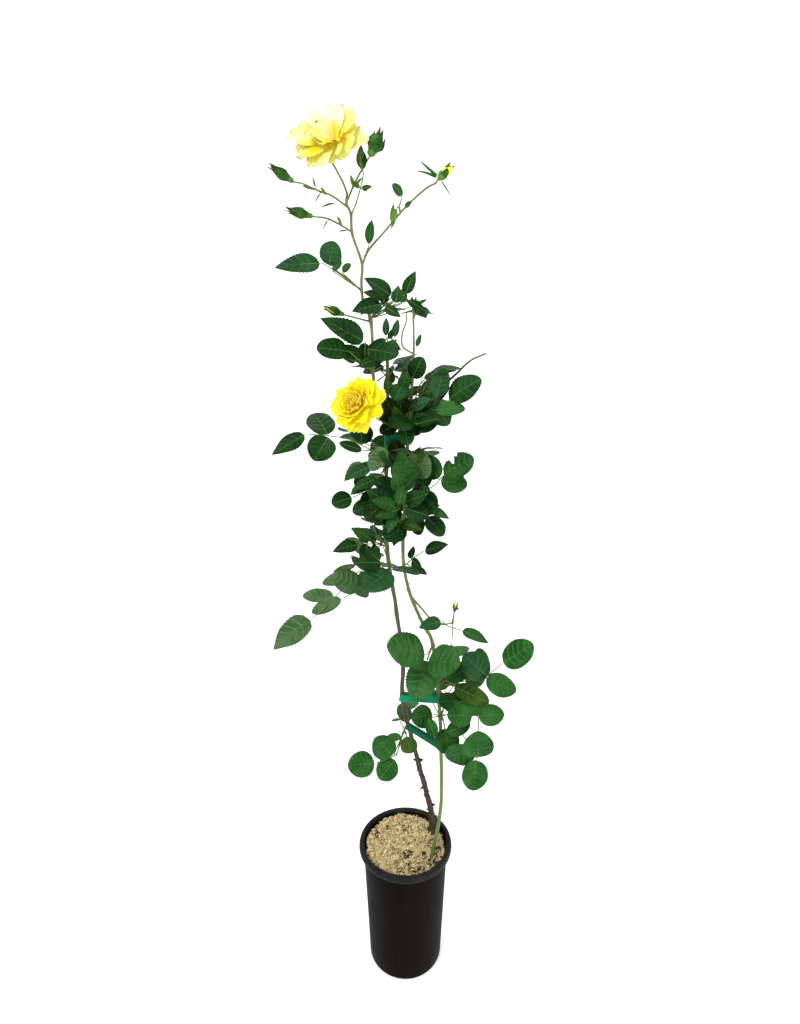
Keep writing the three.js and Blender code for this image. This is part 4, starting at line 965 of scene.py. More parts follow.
# The full bloom's edge colour: a paler yellow as painted highlight on its petal rims.
petal_painted_highlight = plain_plant_finish("petal_painted_highlight_edge", (0.900, 0.860, 0.080), (0.930, 0.900, 0.240), 0.6)
stamen_brown = plain_plant_finish("stamen_brown", (0.260, 0.130, 0.030), (0.420, 0.260, 0.060), 0.6)
shank_bark = bark_finish("shank_bark", 230, 470, ((0.035, 0.022, 0.014), (0.105, 0.068, 0.042)),
                         ((0.040, 0.026, 0.016), (0.090, 0.065, 0.035)), 0.72)
left_bark = bark_finish("left_cane_bark", 640, 800, ((0.035, 0.022, 0.012), (0.095, 0.068, 0.030)),
                        ((0.080, 0.120, 0.030), (0.150, 0.190, 0.062)), 0.55)
right_bark = bark_finish("right_cane_bark", 560, 900, ((0.085, 0.150, 0.035), (0.160, 0.240, 0.070)),
                         ((0.110, 0.150, 0.040), (0.190, 0.240, 0.080)), 0.48, depth=0.2)
young_bark = bark_finish("young_cane_bark", 1100, 1380, ((0.140, 0.165, 0.060), (0.240, 0.260, 0.110)),
                         ((0.120, 0.105, 0.045), (0.170, 0.200, 0.070)), 0.5, depth=0.2)
dry_bark = bark_finish("dry_twig_bark", 1060, 1150, ((0.060, 0.058, 0.024), (0.130, 0.120, 0.055)),
                       ((0.050, 0.042, 0.022), (0.110, 0.090, 0.048)), 0.75)
# One tape in three finishes: its own teal, a lighter copy as painted light and a darker copy as painted
# shade.
TAPE_COLOURS = {
    "tie_tape": ((0.004, 0.120, 0.085), (0.010, 0.200, 0.135)),
    "tie_tape_painted_light": ((0.002, 0.190, 0.085), (0.006, 0.300, 0.135)),
    "tie_tape_painted_shade": ((0.001, 0.080, 0.040), (0.005, 0.140, 0.070)),
}
tape_finishes = [plain_plant_finish(name, *colours, 0.34, scale=25) for name, colours in TAPE_COLOURS.items()]

# ---- limbs with bark ----
LIMB_FINISHES = {
    "woody_shank": ("brown_bark", shank_bark, 0.16),
    "left_cane": ("green_bark", left_bark, 0.09),
    "right_cane": ("young_bark", right_bark, 0.07),
    "dried_twig": ("dry_bark", dry_bark, 0.12),
}
anchors = {name: [] for name in LIMBS}
for row in FLOWERS + MASSES:
    limb = LIMBS[row["limb"]]
    share = row["height"] if row["limb"] == "short_lateral" else limb.share_at(row["height"])
    row["share"] = share
    anchors[row["limb"]].append(share)

MIX_TOP = 227
BARK_SIDES = 14
RING_SPACING = 3.5
KNOT = dict(swelling=0.22, reach=4.5)
for number, (name, limb) in enumerate(LIMBS.items()):
    draw = seeded(SEEDS["bark"] + number)
    slot, finish, depth = LIMB_FINISHES.get(name, ("young_bark", young_bark, 0.07))
    first = limb.share_at(MIX_TOP + 0.5) if limb.path[0][2] < MIX_TOP else 0.0
    rings = int(limb.length() / RING_SPACING)
    shares = np.linspace(first, 1, rings)
    places = np.array([limb.at(share) for share in shares])
    radii = np.array([limb.radius(share) for share in shares])
    for share in anchors[name]:
        away = (shares - share) * limb.length() / KNOT["reach"]
        radii = radii * (1 + KNOT["swelling"] * np.exp(-away ** 2))
    heap = Heap()
    tube(heap, places, radii, BARK_SIDES, relief=bark_relief(rings, BARK_SIDES, places[:, 2], draw, depth))
    heap.piece(name + "_bark", slot, [finish], [name])

# ---- thorns: how many on each limb, and how long ----
THORNS = {"woody_shank": (38, 8.0), "left_cane": (30, 4.2), "right_cane": (42, 4.0), "flower_cane": (10, 2.6),
          "dried_twig": (3, 2.0), "short_lateral": (3, 2.4)}
LOWEST_THORN = 244


def thorn(heap, foot, outward, tangent, reach):
    """A thorn that bends down along its limb."""
    places = [foot, foot + 0.45 * reach * outward, foot + 0.8 * reach * outward - 0.12 * reach * tangent,
              foot + reach * outward - 0.34 * reach * tangent]
    tube(heap, places, [0.36 * reach, 0.2 * reach, 0.1 * reach, 0.03], 7)


thorns = Heap()
dark_thorns = Heap()
for number, (name, (count, size)) in enumerate(THORNS.items()):
    limb = LIMBS[name]
    draw = seeded(SEEDS["thorns"] + number)
    first = limb.share_at(LOWEST_THORN) if limb.path[0][2] < MIX_TOP else 0.03
    for _ in range(count):
        share = between(draw, first, 0.98)
        tangent = limb.tangent(share)
        across = unit(np.cross(tangent, vec((0.3, 1, 0.2))))
        turn = between(draw, 0, 2 * math.pi)
        outward = math.cos(turn) * across + math.sin(turn) * np.cross(tangent, across)
        foot = limb.at(share) + 0.75 * limb.radius(share) * outward
        thorn(dark_thorns if name == "woody_shank" else thorns, foot, outward, tangent,
              size * between(draw, 0.6, 1.1))
thorns.piece("thorns", "brown_bark", [thorn_brown])
dark_thorns.piece("dark_thorns", "brown_bark", [thorn_dark])

# ---- leaves, by tone ----
def behind(row, draw):
    """The same leaf on the far side of the canes, a little out of step."""
    shift = vec((between(draw, -10, 10), 8, between(draw, -14, 14)))
    flip = vec((0.9, -0.9, 1))
    return {**row, "stalk": [tuple(flip * vec(place) + shift) for place in row["stalk"]],
            "tip": tuple(flip * vec(row["tip"]) + shift), "facing": (0, 0.9, 0.7)}


# The dark leaves are many, so they are gathered into three pieces, each from a height upwards.
DARK_BATCHES = {"dark_high": 1100, "dark_middle": 930, "dark_low": 0}


def batch(tone, height):
    """The name of the piece that gathers leaves of a tone at a height."""
    return tone if tone != "dark" else next(name for name, floor in DARK_BATCHES.items() if height > floor)


blades = {name: Heap() for name in (*LEAF_FINISHES, *DARK_BATCHES)}
replaced = {name: [] for name in blades}
stalks = Heap()
SPUR_LENGTH = 5.5
SPUR_RADII = [1.9, 1.5, 1.1]
for index, row in enumerate(MASSES):
    draw = seeded(SEEDS["masses"] + index)
    limb = LIMBS[row["limb"]]
    anchor = limb.at(row["share"])
    firsts = [unit(vec(one["stalk"][0]) - anchor) for one in row["leaves"]]
    heading = unit(sum(firsts[1:], firsts[0]))
    start = anchor + heading * (limb.radius(row["share"]) + SPUR_LENGTH)
    tube(stalks, [anchor, (anchor + start) / 2, start + 0.6 * heading], SPUR_RADII, 8)
    tone, height = row["tone"], anchor[2]
    replaced[batch(tone, height)].append(row["name"])
    for one in row["leaves"]:
        grow_leaf({**one, "pointed": row["pointed"] or one["pointed"]}, start, draw,
                  blades[batch(one["tone"] or tone, height)], stalks)
    fillers = FILLERS.get(row["name"], [])
    for one in fillers:
        grow_leaf(one, start, draw, blades[batch(one["tone"] or tone, height)], stalks)
    for one in fillers:
        if one["twice"]:
            grow_leaf(behind(one, draw), anchor, draw, blades[batch(tone, height)], stalks)

# ---- buds and blooms ----
buds = Heap()

# The order of a bud's finishes.
HIP, SEPAL, PETAL, WITHERED = 0, 1, 2, 3


def bud_radius(share):
    """The outline of a bud, as a share of its widest radius, from its foot to its tip."""
    return np.interp(share, [0, 0.06, 0.16, 0.24, 0.42, 0.60, 0.74, 0.84, 0.92],
                     [0.22, 0.50, 0.58, 0.56, 1.0, 0.82, 0.42, 0.16, 0.06])


SEPAL_ROWS, SEPAL_COLUMNS, GREEN_ROWS = 12, 4, 9
SEPAL_CELLS = [SEPAL if row < GREEN_ROWS else WITHERED
               for row in range(SEPAL_ROWS) for _ in range(SEPAL_COLUMNS)]
BUD_SHEET_THICKNESS = 0.4


def sepal_ring(heap, base, heading, length, radius, opening, draw, count=5):
    """Sepals that follow the bud, or stand away from it by their opening, with thin curling tips."""
    across = unit(np.cross(heading, vec((0.2, 0.3, 1))))
    third = np.cross(heading, across)
    u, t = ramps(SEPAL_ROWS + 1, SEPAL_COLUMNS + 1)
    for index in range(count):
        turn = 2 * math.pi * (index + 0.3) / count + between(draw, -0.15, 0.15)
        outward = math.cos(turn) * across + math.sin(turn) * third
        sideways = np.cross(heading, outward)
        lean = math.radians(opening) * between(draw, 0.7, 1.2)
        reach = length * between(draw, 0.68, 0.92)
        rise = 0.2 * length + u * reach * math.cos(lean)
        hug = radius * bud_radius(np.clip(rise / length, 0, 1)) * math.cos(lean) + 0.3
        away = hug + u * reach * math.sin(lean) + radius * between(draw, 0.05, 0.45) * u ** 4
        half = 0.60 * radius * np.sin(math.pi * np.clip(u, 0.06, 1) ** 0.55) ** 0.8 * (1 - 0.25 * u) + 0.22
        bend = between(draw, -0.4, 0.4) * radius * u ** 3
        grid = (base + times(rise, heading) + times(away - 0.30 * half * t ** 2, outward)
                + times(half * t + bend, sideways))
        thin_sheet(heap, grid, BUD_SHEET_THICKNESS, SEPAL_CELLS, SEPAL_CELLS, SEPAL)


def free_sepal(heap, root, tip, wide, sag):
    """A single sepal that stands free of its bud, from its root to its withered tip."""
    along = tip - root
    length = np.linalg.norm(along)
    along = along / length
    side = unit(np.cross(along, vec((0, -1, 0.4))))
    face = np.cross(side, along)
    u, t = ramps(SEPAL_ROWS + 1, SEPAL_COLUMNS + 1)
    half = 0.5 * wide * np.sin(math.pi * (0.12 + 0.88 * u) ** 0.6) ** 0.8 + 0.2
    grid = (root + times(u * length, along) + times(half * t, side)
            + times(sag * length * np.sin(math.pi * u) - 0.3 * half * t ** 2, face))
    thin_sheet(heap, grid, BUD_SHEET_THICKNESS, SEPAL_CELLS, SEPAL_CELLS, SEPAL)


SHOWING_YELLOW = ("bud_mid_left", "small_bud_shoot")
BUD_SIDES = 18
CLOSED_OPENING = 5


def rose_bud(heap, base, tip, radius, opening, draw, spent=False, heart=HIP):
    """A closed bud: its hip, its rolled petals unless they are spent, and its sepals."""
    heading = unit(tip - base)
    length = np.linalg.norm(tip - base)
    radius = 0.86 * radius
    shares = np.linspace(0, 0.34 if spent else 0.9, 14)
    places = base + shares[:, None] * length * heading
    turns = np.linspace(0, 2 * math.pi, BUD_SIDES, endpoint=False)[None, :]
    folds = 1 + 0.05 * np.cos(3 * turns + 9 * shares[:, None])
    tube(heap, places[:5], radius * bud_radius(shares[:5]), BUD_SIDES, HIP)
    if not spent:
        tube(heap, places[3:], 0.93 * radius * bud_radius(shares[3:]), BUD_SIDES, heart, relief=folds[3:])
    sepal_ring(heap, base, heading, length, radius, opening, draw)


# The bud that has begun to open: its sepals' tips and widths.
OPEN_BUD_SEPALS = [((20, -24, 1419), 4.4), ((14, -24, 1405), 4.0), ((67, -22, 1370), 1.8),
                   ((71, -20, 1413), 6.0), ((64, -27, 1416), 6.0)]


def opening_bud(heap, base, tip, radius, draw):
    """A green cup with rolled yellow petals showing, and sepals that have sprung away."""
    heading = unit(tip - base)
    length = np.linalg.norm(tip - base)
    cup = np.linspace(0, 0.5, 10)
    outline = np.interp(cup, [0, 0.1, 0.3, 0.5], [0.3, 0.62, 0.96, 0.9])
    tube(heap, base + cup[:, None] * length * heading, 0.8 * radius * outline, BUD_SIDES, HIP)
    rolled = np.linspace(0.35, 1.0, 8)
    roll = np.interp(rolled, [0.35, 0.6, 0.85, 1.0], [0.8, 0.84, 0.62, 0.28])
    tube(heap, base + rolled[:, None] * length * heading, 0.8 * radius * roll, BUD_SIDES, PETAL)
    across = unit(np.cross(heading, vec((0, -1, 0.2))))
    third = np.cross(heading, across)
    u, t = ramps(9, 7)
    for index in range(5):
        turn = 2 * math.pi * index / 5 + between(draw, -0.3, 0.3)
        outward = math.cos(turn) * across + math.sin(turn) * third
        sideways = np.cross(heading, outward)
        rise = (0.44 + 0.60 * u) * length * between(draw, 0.92, 1.03)
        spread = 0.8 * radius * (0.98 - 0.42 * u ** 2)
        arc = 0.9 * t * (1 - 0.25 * u)
        grid = (base + times(rise, heading) + times(spread * np.cos(arc), outward)
                + times(spread * np.sin(arc), sideways))
        thin_sheet(heap, grid, BUD_SHEET_THICKNESS, PETAL, PETAL, PETAL)
    sepal_ring(heap, base, heading, length, 0.95 * radius, CLOSED_OPENING, draw, 2)
    root = base + 0.3 * length * heading
    for place, wide in OPEN_BUD_SEPALS:
        towards = unit(vec(place) - root)
        free_sepal(heap, root + 0.6 * radius * towards - 0.15 * length * heading, vec(place), wide,
                   between(draw, -0.12, 0.12))


def flower_stalk(row):
    """The stalk of a bud or bloom, from its limb."""
    limb = LIMBS[row["limb"]]
    path = [limb.at(row["share"]), *row["stalk"]]
    if "centre" in row:
        path.append(row["centre"])
    return Limb(path, 1.5, 1.15)


petals = {"top_bloom": Heap(), "mid_bloom": Heap()}

# The places of the edge and the stamens in the order of a bloom's finishes.
EDGE, STAMEN = 1, 2
PETAL_CELLS = 14
PETAL_THICKNESS = 0.35


def petal(heap, root, direction, inner, length, wide, cup, flare, ruffle, draw, point=0.0, mark=0, edge_wear_and_highlight=0.5):
    """One petal: a cupped fan whose far edge ruffles, its upper side towards the heart. Parts of its
    edge, as many as its last argument says, take the colour of the edge: browned wear on the old bloom, a
    painted highlight on the full bloom."""
    side = unit(np.cross(direction, inner))
    s, t = ramps(PETAL_CELLS + 1, PETAL_CELLS + 1)
    s = 1 - (1 - s) ** 1.25
    widths = 0.15 + 0.85 * np.sin(0.5 * math.pi * np.minimum(1, s / 0.72)) ** 0.9
    widths = widths * (1 - 0.16 * np.maximum(0, (s - 0.72) / 0.28) ** 2)
    phases = [draw() for _ in range(4)]
    crimp = (np.sin(2 * math.pi * (1.1 * t + phases[0])) + 0.6 * np.sin(2 * math.pi * (2.3 * t + phases[1]))
             + 0.5 * np.sin(2 * math.pi * (3.4 * t + phases[2])))
    swell = np.sin(2 * math.pi * (0.6 * t + phases[3] + 0.5 * s))
    scallop = 0.036 * crimp + point * np.exp(-(t / 0.28) ** 2)
    x = length * s * (1 - 0.22 * t ** 2 * s ** 3 + scallop * s ** 5)
    y = 0.5 * wide * widths * t
    pleat = 0.005 * wide * np.sin(2 * math.pi * (2.2 * t + phases[3])) * np.sin(math.pi * s)
    z = (cup * length * s ** 1.7 - flare * length * np.maximum(0, s - 0.45) ** 2 * 3.3
         + 0.10 * wide * t ** 2 * s + ruffle * (s ** 4 * crimp + 0.9 * s ** 1.5 * swell) + pleat)
    grid = root + times(x, direction) + times(y, side) + times(z, inner)
    frayed = np.sin(9 * t[0, 1:] + 6 * phases[0]) + np.sin(17 * t[0, 1:] + 6 * phases[1])
    cells = [mark] * (PETAL_CELLS * (PETAL_CELLS - 1))
    cells += [EDGE if fray > 2 - 4 * edge_wear_and_highlight else mark for fray in frayed]
    thin_sheet(heap, grid, PETAL_THICKNESS, cells, cells, EDGE if edge_wear_and_highlight > 0.3 else mark)


def rosette(heap, row, draw):
    """A full bloom: ring inside ring of petals, each more upright, round a heart drawn out to a cleft."""
    centre, radius = vec(row["centre"]), row["radius"]
    heading = unit(vec(row["facing"]))
    upward = unit(vec((0, 0, 1)) - heading[2] * heading)
    right = np.cross(upward, heading)
    cleft = math.radians(FULL_BLOOM_CLEFT)
    along = math.cos(cleft) * right + math.sin(cleft) * upward
    for number, (count, lean, reach, wide, cup, flare, ruffle) in enumerate(FULL_BLOOM_RINGS):
        offset = between(draw, 0, 360 / count)
        for index in range(count):
            turn = math.radians(offset + 360 * index / count + between(draw, -9, 9))
            tilt = math.radians(lean + between(draw, -7, 7))
            outward = math.cos(turn) * right + math.sin(turn) * upward
            direction = math.cos(tilt) * heading + math.sin(tilt) * outward
            inner = math.sin(tilt) * heading - math.cos(tilt) * outward
            root = centre + 0.4 * number * heading + 7 * math.cos(turn - cleft) * along
            petal(heap, root, direction, inner, radius * reach * between(draw, 0.84, 1.03),
                  radius * wide * between(draw, 0.85, 1.15), cup, flare, ruffle, draw,
                  edge_wear_and_highlight=between(draw, 0.2, 0.75))


def loose_bloom(heap, row, draw):
    """An old, wide-open bloom: big ruffled petals, each set one by one, round a loose heart."""
    heart = vec(OLD_BLOOM_HEART)
    heading = unit(vec(row["facing"]))
    for reach, wide, cup, flare, ruffle, point, mark in OLD_BLOOM_PETALS:
        length = np.linalg.norm(reach)
        direction = unit(vec(reach))
        inner = unit(heading - np.dot(heading, direction) * direction)
        petal(heap, heart, direction, inner, length, wide, cup, flare, ruffle, draw, point, mark,
              edge_wear_and_highlight=between(draw, 0.32, 0.5))
    crumpled = heart + vec(OLD_BLOOM_STAMENS)
    for _ in range(5):
        direction = unit(vec((between(draw, -1, 1), -0.9, between(draw, -0.3, 0.8))))
        reach = between(draw, 4, 7)
        places = [crumpled + share * reach * direction for share in (0.0, 0.5, 0.84, 1.0)]
        tube(heap, places, [0.5, 0.9, 0.7, 0.2], 6, STAMEN)


for index, row in enumerate(FLOWERS):
    draw = seeded(SEEDS["flowers"] + index)
    stalk = flower_stalk(row)
    shares = np.linspace(0, 1, 6 + 5 * len(row["stalk"]))
    tube(stalks, [stalk.at(share) for share in shares], [stalk.radius(share) for share in shares], 8)
    detail = seeded(SEEDS["blooms"] + index)
    if "centre" in row:
        grow_bloom = rosette if row["name"] == "mid_bloom" else loose_bloom
        grow_bloom(petals[row["name"]], row, detail)
        heading = unit(vec(row["facing"]))
        back = vec(row["centre"]) - 9 * heading
        tube(buds, [back - 3 * heading, back, back + 4 * heading, back + 8 * heading], [1.6, 4.0, 4.4, 3.0],
             14, HIP)
        sepal_ring(buds, back - heading, heading, 20, 6, 100, detail)
    elif row["name"] == "bud_right_open":
        opening_bud(buds, vec(row["stalk"][-1]), vec(row["tip"]), row["radius"], detail)
    else:
        rose_bud(buds, vec(row["stalk"][-1]), vec(row["tip"]), row["radius"],
                 row.get("opening", CLOSED_OPENING), detail, row["name"] == "spent_calyx",
                 PETAL if row["name"] in SHOWING_YELLOW else HIP)
    for one in row.get("leaves", []):
        grow_leaf(one, stalk.at(0.5), draw, blades["young"], stalks)
for number, (foot, tip, wide, tone) in enumerate(BRACTS):
    leaflet(blades[batch(tone, tip[2])], vec(foot), vec(tip), vec(FRONT), LEAF_SHAPES["narrow"],
            seeded(SEEDS["bracts"] + number), wide)

# Where each bloom's yellow is deepest orange, partly its own colour and partly painted shade in the hollows
# of its heart and clefts, and how far that reaches; then its yellows from there outwards.
PAINTED_HEART_SHADE = {
    "top_bloom": [(OLD_BLOOM_HEART, 52), (vec(OLD_BLOOM_HEART) + (-8, -18, -9), 30),
                  (vec(OLD_BLOOM_HEART) + (-28, -20, -18), 30)],
    "mid_bloom": [((-70, -76, 1080), 40), ((-78, -74, 1068), 34), ((-61, -74, 1092), 34)],
}
YELLOWS = {
    "top_bloom": ((0.0, (0.76, 0.42, 0.003)), (0.2, (0.82, 0.64, 0.010)), (0.42, (0.79, 0.73, 0.12)),
                  (0.7, (0.80, 0.78, 0.26)), (1.0, (0.84, 0.84, 0.42))),
    "mid_bloom": ((0.0, (0.84, 0.50, 0.002)), (0.3, (0.86, 0.68, 0.002)), (0.6, (0.86, 0.77, 0.006)),
                  (1.0, (0.87, 0.82, 0.030))),
}
petal_faded = plain_plant_finish("petal_faded", (0.930, 0.930, 0.420), (0.950, 0.950, 0.640), 0.6)
for name, heap in petals.items():
    finish = petal_finish(name + "_petals", PAINTED_HEART_SHADE[name], YELLOWS[name])
    # The old bloom's edges are browned with wear; the full bloom's paler edges are painted highlight.
    edge = petal_brown if name == "top_bloom" else petal_painted_highlight
    heap.piece(name + "_petals", "pale_petals" if name == "top_bloom" else "bright_petals",
               [finish, edge, stamen_brown, petal_faded], [name])
buds.piece("rose_buds", "bud_green", [hip_green, sepal_green, bud_yellow, sepal_tip],
           [row["name"] for row in FLOWERS if "centre" not in row])
for name, heap in blades.items():
    if heap.size:
        tone = name.split("_")[0]
        heap.piece(f"leaves_{name}", "foliage",
                   [LEAF_FINISHES[tone], underside, rib, VEINS[tone], pale_underside], replaced[name])
stalks.piece("leaf_stalks", "young_bark", [stalk_green])

# ---- tape ties, each wound twice round both canes ----
TAPE_LAPS, TAPE_STEPS, TAPE_COLUMNS = 2.04, 150, 7
TAPE_THICKNESS = 0.35
LAP_GAP = 0.45


def round_both(run, reach, radius, start, end, forward, away):
    """A place on the tape and the way outward there: along the front from the start, round the end,
    back along the far side and round the start."""
    span = np.linalg.norm(end - start)
    if run < span:
        return start + forward * run - away * reach, -away
    if run < span + math.pi * radius:
        turn = (run - span) / radius
        outward = -math.cos(turn) * away + math.sin(turn) * forward
        return end + reach * outward, outward
    if run < 2 * span + math.pi * radius:
        return end - forward * (run - span - math.pi * radius) + away * reach, away
    turn = (run - 2 * span - math.pi * radius) / radius
    outward = math.cos(turn) * away - math.sin(turn) * forward
    return start + reach * outward, outward


def tape_grid(left_height, right_height, width, draw):
    """A creased tape, wound from the left cane round the right one."""
    left, right = LIMBS["left_cane"], LIMBS["right_cane"]
    start = left.at(left.share_at(left_height))
    end = right.at(right.share_at(right_height))
    forward = unit(end - start)
    upward = unit(vec((0, 0, 1)) - forward[2] * forward)
    away = np.cross(upward, forward)
    radius = max(left.radius(0.5), right.radius(0.5)) + 1.0
    around = 2 * np.linalg.norm(end - start) + 2 * math.pi * radius
    phases = [between(draw, 0, 6.28) for _ in range(4)]
    grid = np.zeros((TAPE_STEPS, TAPE_COLUMNS, 3))
    for step in range(TAPE_STEPS):
        lap = TAPE_LAPS * step / (TAPE_STEPS - 1)
        place, outward = round_both((lap % 1) * around, radius + LAP_GAP * lap, radius,
                                    start, end, forward, away)
        drift = 0.9 * math.sin(2 * math.pi * lap * 0.5 + phases[3])
        for column in range(TAPE_COLUMNS):
            across = column / (TAPE_COLUMNS - 1)
            rise = width * (across - 0.5) * (1 - 0.1 * math.sin(5 * lap + phases[0]))
            crease = 0.35 * math.sin(9 * lap + 3 * across + phases[1]) * math.sin(2.4 * column + phases[2])
            grid[step, column] = place + (rise + drift) * upward + crease * outward
    return grid


tapes = Heap()
for number, (name, left_height, right_height, width, tape) in enumerate(TIES):
    grid = tape_grid(left_height, right_height, width, seeded(SEEDS["ties"] + number))
    mark = list(TAPE_COLOURS).index(tape)
    thin_sheet(tapes, grid, TAPE_THICKNESS, mark, mark, mark)
tapes.piece("tie_tapes", "tie_tape", tape_finishes, [name for name, *_ in TIES])

# ---- pot ----
POT_SIDES = 112
POT_HEIGHT = 250
FOOT_RADIUS = 69
WALL_FLARE = 10.5
WALL_THICKNESS = 2.4
FLOOR_THICKNESS = 3
LIP_PROFILE = [(83.5, 236.2), (86.4, 237.0), (87.2, 238.4), (87.5, 241), (87.3, 245), (86.4, 248.2),
               (84.8, 249.7), (82.4, POT_HEIGHT), (80.2, 249.5), (78.4, 247.8), (77.6, 245)]


def lathe_rings(profile, sides):
    """The places of a lathed shape, ring by ring, from its radii and heights."""
    turns = np.linspace(0, 2 * math.pi, sides, endpoint=False)
    return np.array([[(radius * math.cos(turn), radius * math.sin(turn), height) for turn in turns]
                     for radius, height in profile])


def lathe_faces(rings, sides):
    """Faces between the rings of a closed lathed shape, with a flat face on its first ring and its last."""
    faces = []
    for ring in range(rings - 1):
        for side in range(sides):
            beside = (side + 1) % sides
            faces.append((ring * sides + side, ring * sides + beside, (ring + 1) * sides + beside,
                          (ring + 1) * sides + side))
    faces.append(tuple(range(sides - 1, -1, -1)))
    faces.append(tuple(range((rings - 1) * sides, rings * sides)))
    return faces


def wall(height):
    """The outside radius of the pot at a height."""
    return FOOT_RADIUS + WALL_FLARE * height / POT_HEIGHT


def inside(height):
    """The inside radius of the pot at a height."""
    return wall(height) - WALL_THICKNESS


pot_profile = [(0.5, 0), (60, 0), (66.6, 0), (68.4, 0.7), (69.1, 2.4)]
pot_profile += [(wall(height), height) for height in (40, 90, 140, 190, 226, 232)]
pot_profile += [(wall(235) + 0.6, 235.2), *LIP_PROFILE]
pot_profile += [(inside(height), height) for height in (236, 200, 120, 40)]
pot_profile += [(inside(3), 3.6), (64, FLOOR_THICKNESS), (0.5, FLOOR_THICKNESS)]
LIP_START = pot_profile.index(LIP_PROFILE[0])
pot_points = lathe_rings(pot_profile, POT_SIDES)
turns = np.linspace(0, 2 * math.pi, POT_SIDES, endpoint=False)
lip_sag = 0.25 * np.sin(2 * turns + 0.6) + 0.15 * np.sin(3 * turns + 2.0) - 0.4
pot_points[LIP_START + 1:LIP_START + 11, :, 2] += lip_sag[None, :]
pot_heap = Heap()
on_lip = [1 if LIP_START <= ring < LIP_START + 10 else 0
          for ring in range(len(pot_profile) - 1) for _ in range(POT_SIDES)]
pot_heap.add(pot_points, lathe_faces(len(pot_profile), POT_SIDES), on_lip + [0, 0])


def plastic(name, dark, light, shine):
    """Black plastic, scuffed and streaked with dust."""
    finish = Finish(name, specular_ior_level=shine)
    scuffs = finish.noise(9, 4.0, stretch=(1.0, 1.0, 0.25))
    grain = finish.noise(420, 2.0)
    streaks = finish.contrast(finish.noise(60, 3.0, stretch=(1.0, 1.0, 0.08)), 0.35, 0.75)
    colour = finish.blend(dark, light, 0.6 * finish.contrast(scuffs, 0.4, 0.7) + 0.4 * streaks)
    return finish.wear(base_color=colour, roughness=0.42 + 0.25 * grain, normal=finish.bump(grain, 0.25, 0.5))


pot_plastic = plastic("pot_plastic", (0.0010, 0.0008, 0.0007), (0.0075, 0.0045, 0.0032), 0.03)
pot_lip = plastic("pot_lip", (0.0040, 0.0038, 0.0038), (0.0260, 0.0240, 0.0240), 0.10)
pot = pot_heap.piece("nursery_pot", "pot_plastic", [pot_plastic, pot_lip], ["pot"], sharp=35)

DRAIN_HOLES = dict(count=5, ring=44, radius=8, depth=6)


def drill(piece, holes):
    """Cuts the shapes in the heap of holes out of a piece."""
    cutter = holes.form("drain_holes", smooth=False)
    cut = piece.modifiers.new("drain_holes", "BOOLEAN")
    cut.operation = "DIFFERENCE"
    cut.solver = "EXACT"
    cut.object = cutter
    bpy.context.view_layer.update()
    evaluated = piece.evaluated_get(bpy.context.evaluated_depsgraph_get())
    cut_mesh = bpy.data.meshes.new_from_object(evaluated)
    piece.modifiers.clear()
    piece.data = cut_mesh
    bpy.data.objects.remove(cutter)


holes = Heap()
for index in range(DRAIN_HOLES["count"]):
    turn = 2 * math.pi * index / DRAIN_HOLES["count"]
    centre = vec((DRAIN_HOLES["ring"] * math.cos(turn), DRAIN_HOLES["ring"] * math.sin(turn), 0))
    ends = [centre + vec((0, 0, height)) for height in (-DRAIN_HOLES["depth"], DRAIN_HOLES["depth"])]
    tube(holes, ends, DRAIN_HOLES["radius"], 24)
drill(pot, holes)

# ---- soil and shavings ----
soil = Finish("potting_mix", specular_ior_level=0.2)
crumbs = soil.noise(240, 4.0)
soil_colour = soil.blend((0.010, 0.006, 0.004), (0.050, 0.030, 0.018), soil.contrast(crumbs, 0.35, 0.7))
soil.wear(base_color=soil_colour, roughness=0.85 + 0.1 * crumbs, normal=soil.bump(crumbs, 1.2))
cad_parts["potting_mix"].data.materials.clear()
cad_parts["potting_mix"].data.materials.append(soil.material)

BED_RADIUS = 75.6
BED_FOOT = 227.4
BED_SIDES = 72
draw = seeded(SEEDS["shavings"])
waves = [(between(draw, 0.05, 0.3), between(draw, 0, 6.28), between(draw, 0.05, 0.3), between(draw, 0, 6.28))
         for _ in range(8)]


def bed_height(x, y):
    """The lumpy top of the bed under the shavings."""
    lumps = sum(np.sin(a * x + p) * np.sin(b * y + q) for a, p, b, q in waves)
    mound = 6.5 * np.clip((y + 25) / 95, 0, 1) ** 1.3 - 2.0 * np.clip(x / 75, -1, 1)
    return 232.5 + mound + 0.45 * lumps


bed_profile = [(0.5, BED_FOOT), (70, BED_FOOT), (BED_RADIUS, 227.5), (BED_RADIUS, 230.5)]
bed_edge = len(bed_profile)
bed_profile += [(radius, 232) for radius in np.linspace(BED_RADIUS - 1.5, 0.5, 26)]
bed_points = lathe_rings(bed_profile, BED_SIDES)
tops = bed_points[bed_edge:]
tops[:, :, 2] = bed_height(tops[:, :, 0], tops[:, :, 1])
bed = Heap()
bed.add(bed_points, lathe_faces(len(bed_profile), BED_SIDES))
crumbled = Finish("crumbled_shavings", specular_ior_level=0.2)
dust = crumbled.noise(330, 4.0)
crumbled.wear(base_color=crumbled.blend((0.012, 0.007, 0.004), (0.200, 0.120, 0.045),
                                        crumbled.contrast(dust, 0.42, 0.68)),
              roughness=0.85 + 0.1 * dust, normal=crumbled.bump(dust, 1.0))
bed.piece("mulch_bed", "potting_mix", [crumbled.material], ["shavings_mulch"])


def shaving_finish(name, first, second):
    finish = Finish(name, specular_ior_level=0.25)
    fibres = finish.noise(480, 3.0)
    return finish.wear(base_color=finish.blend(first, second, finish.contrast(fibres, 0.3, 0.7)),
                       roughness=0.7 + 0.15 * fibres, normal=finish.bump(fibres, 0.3))


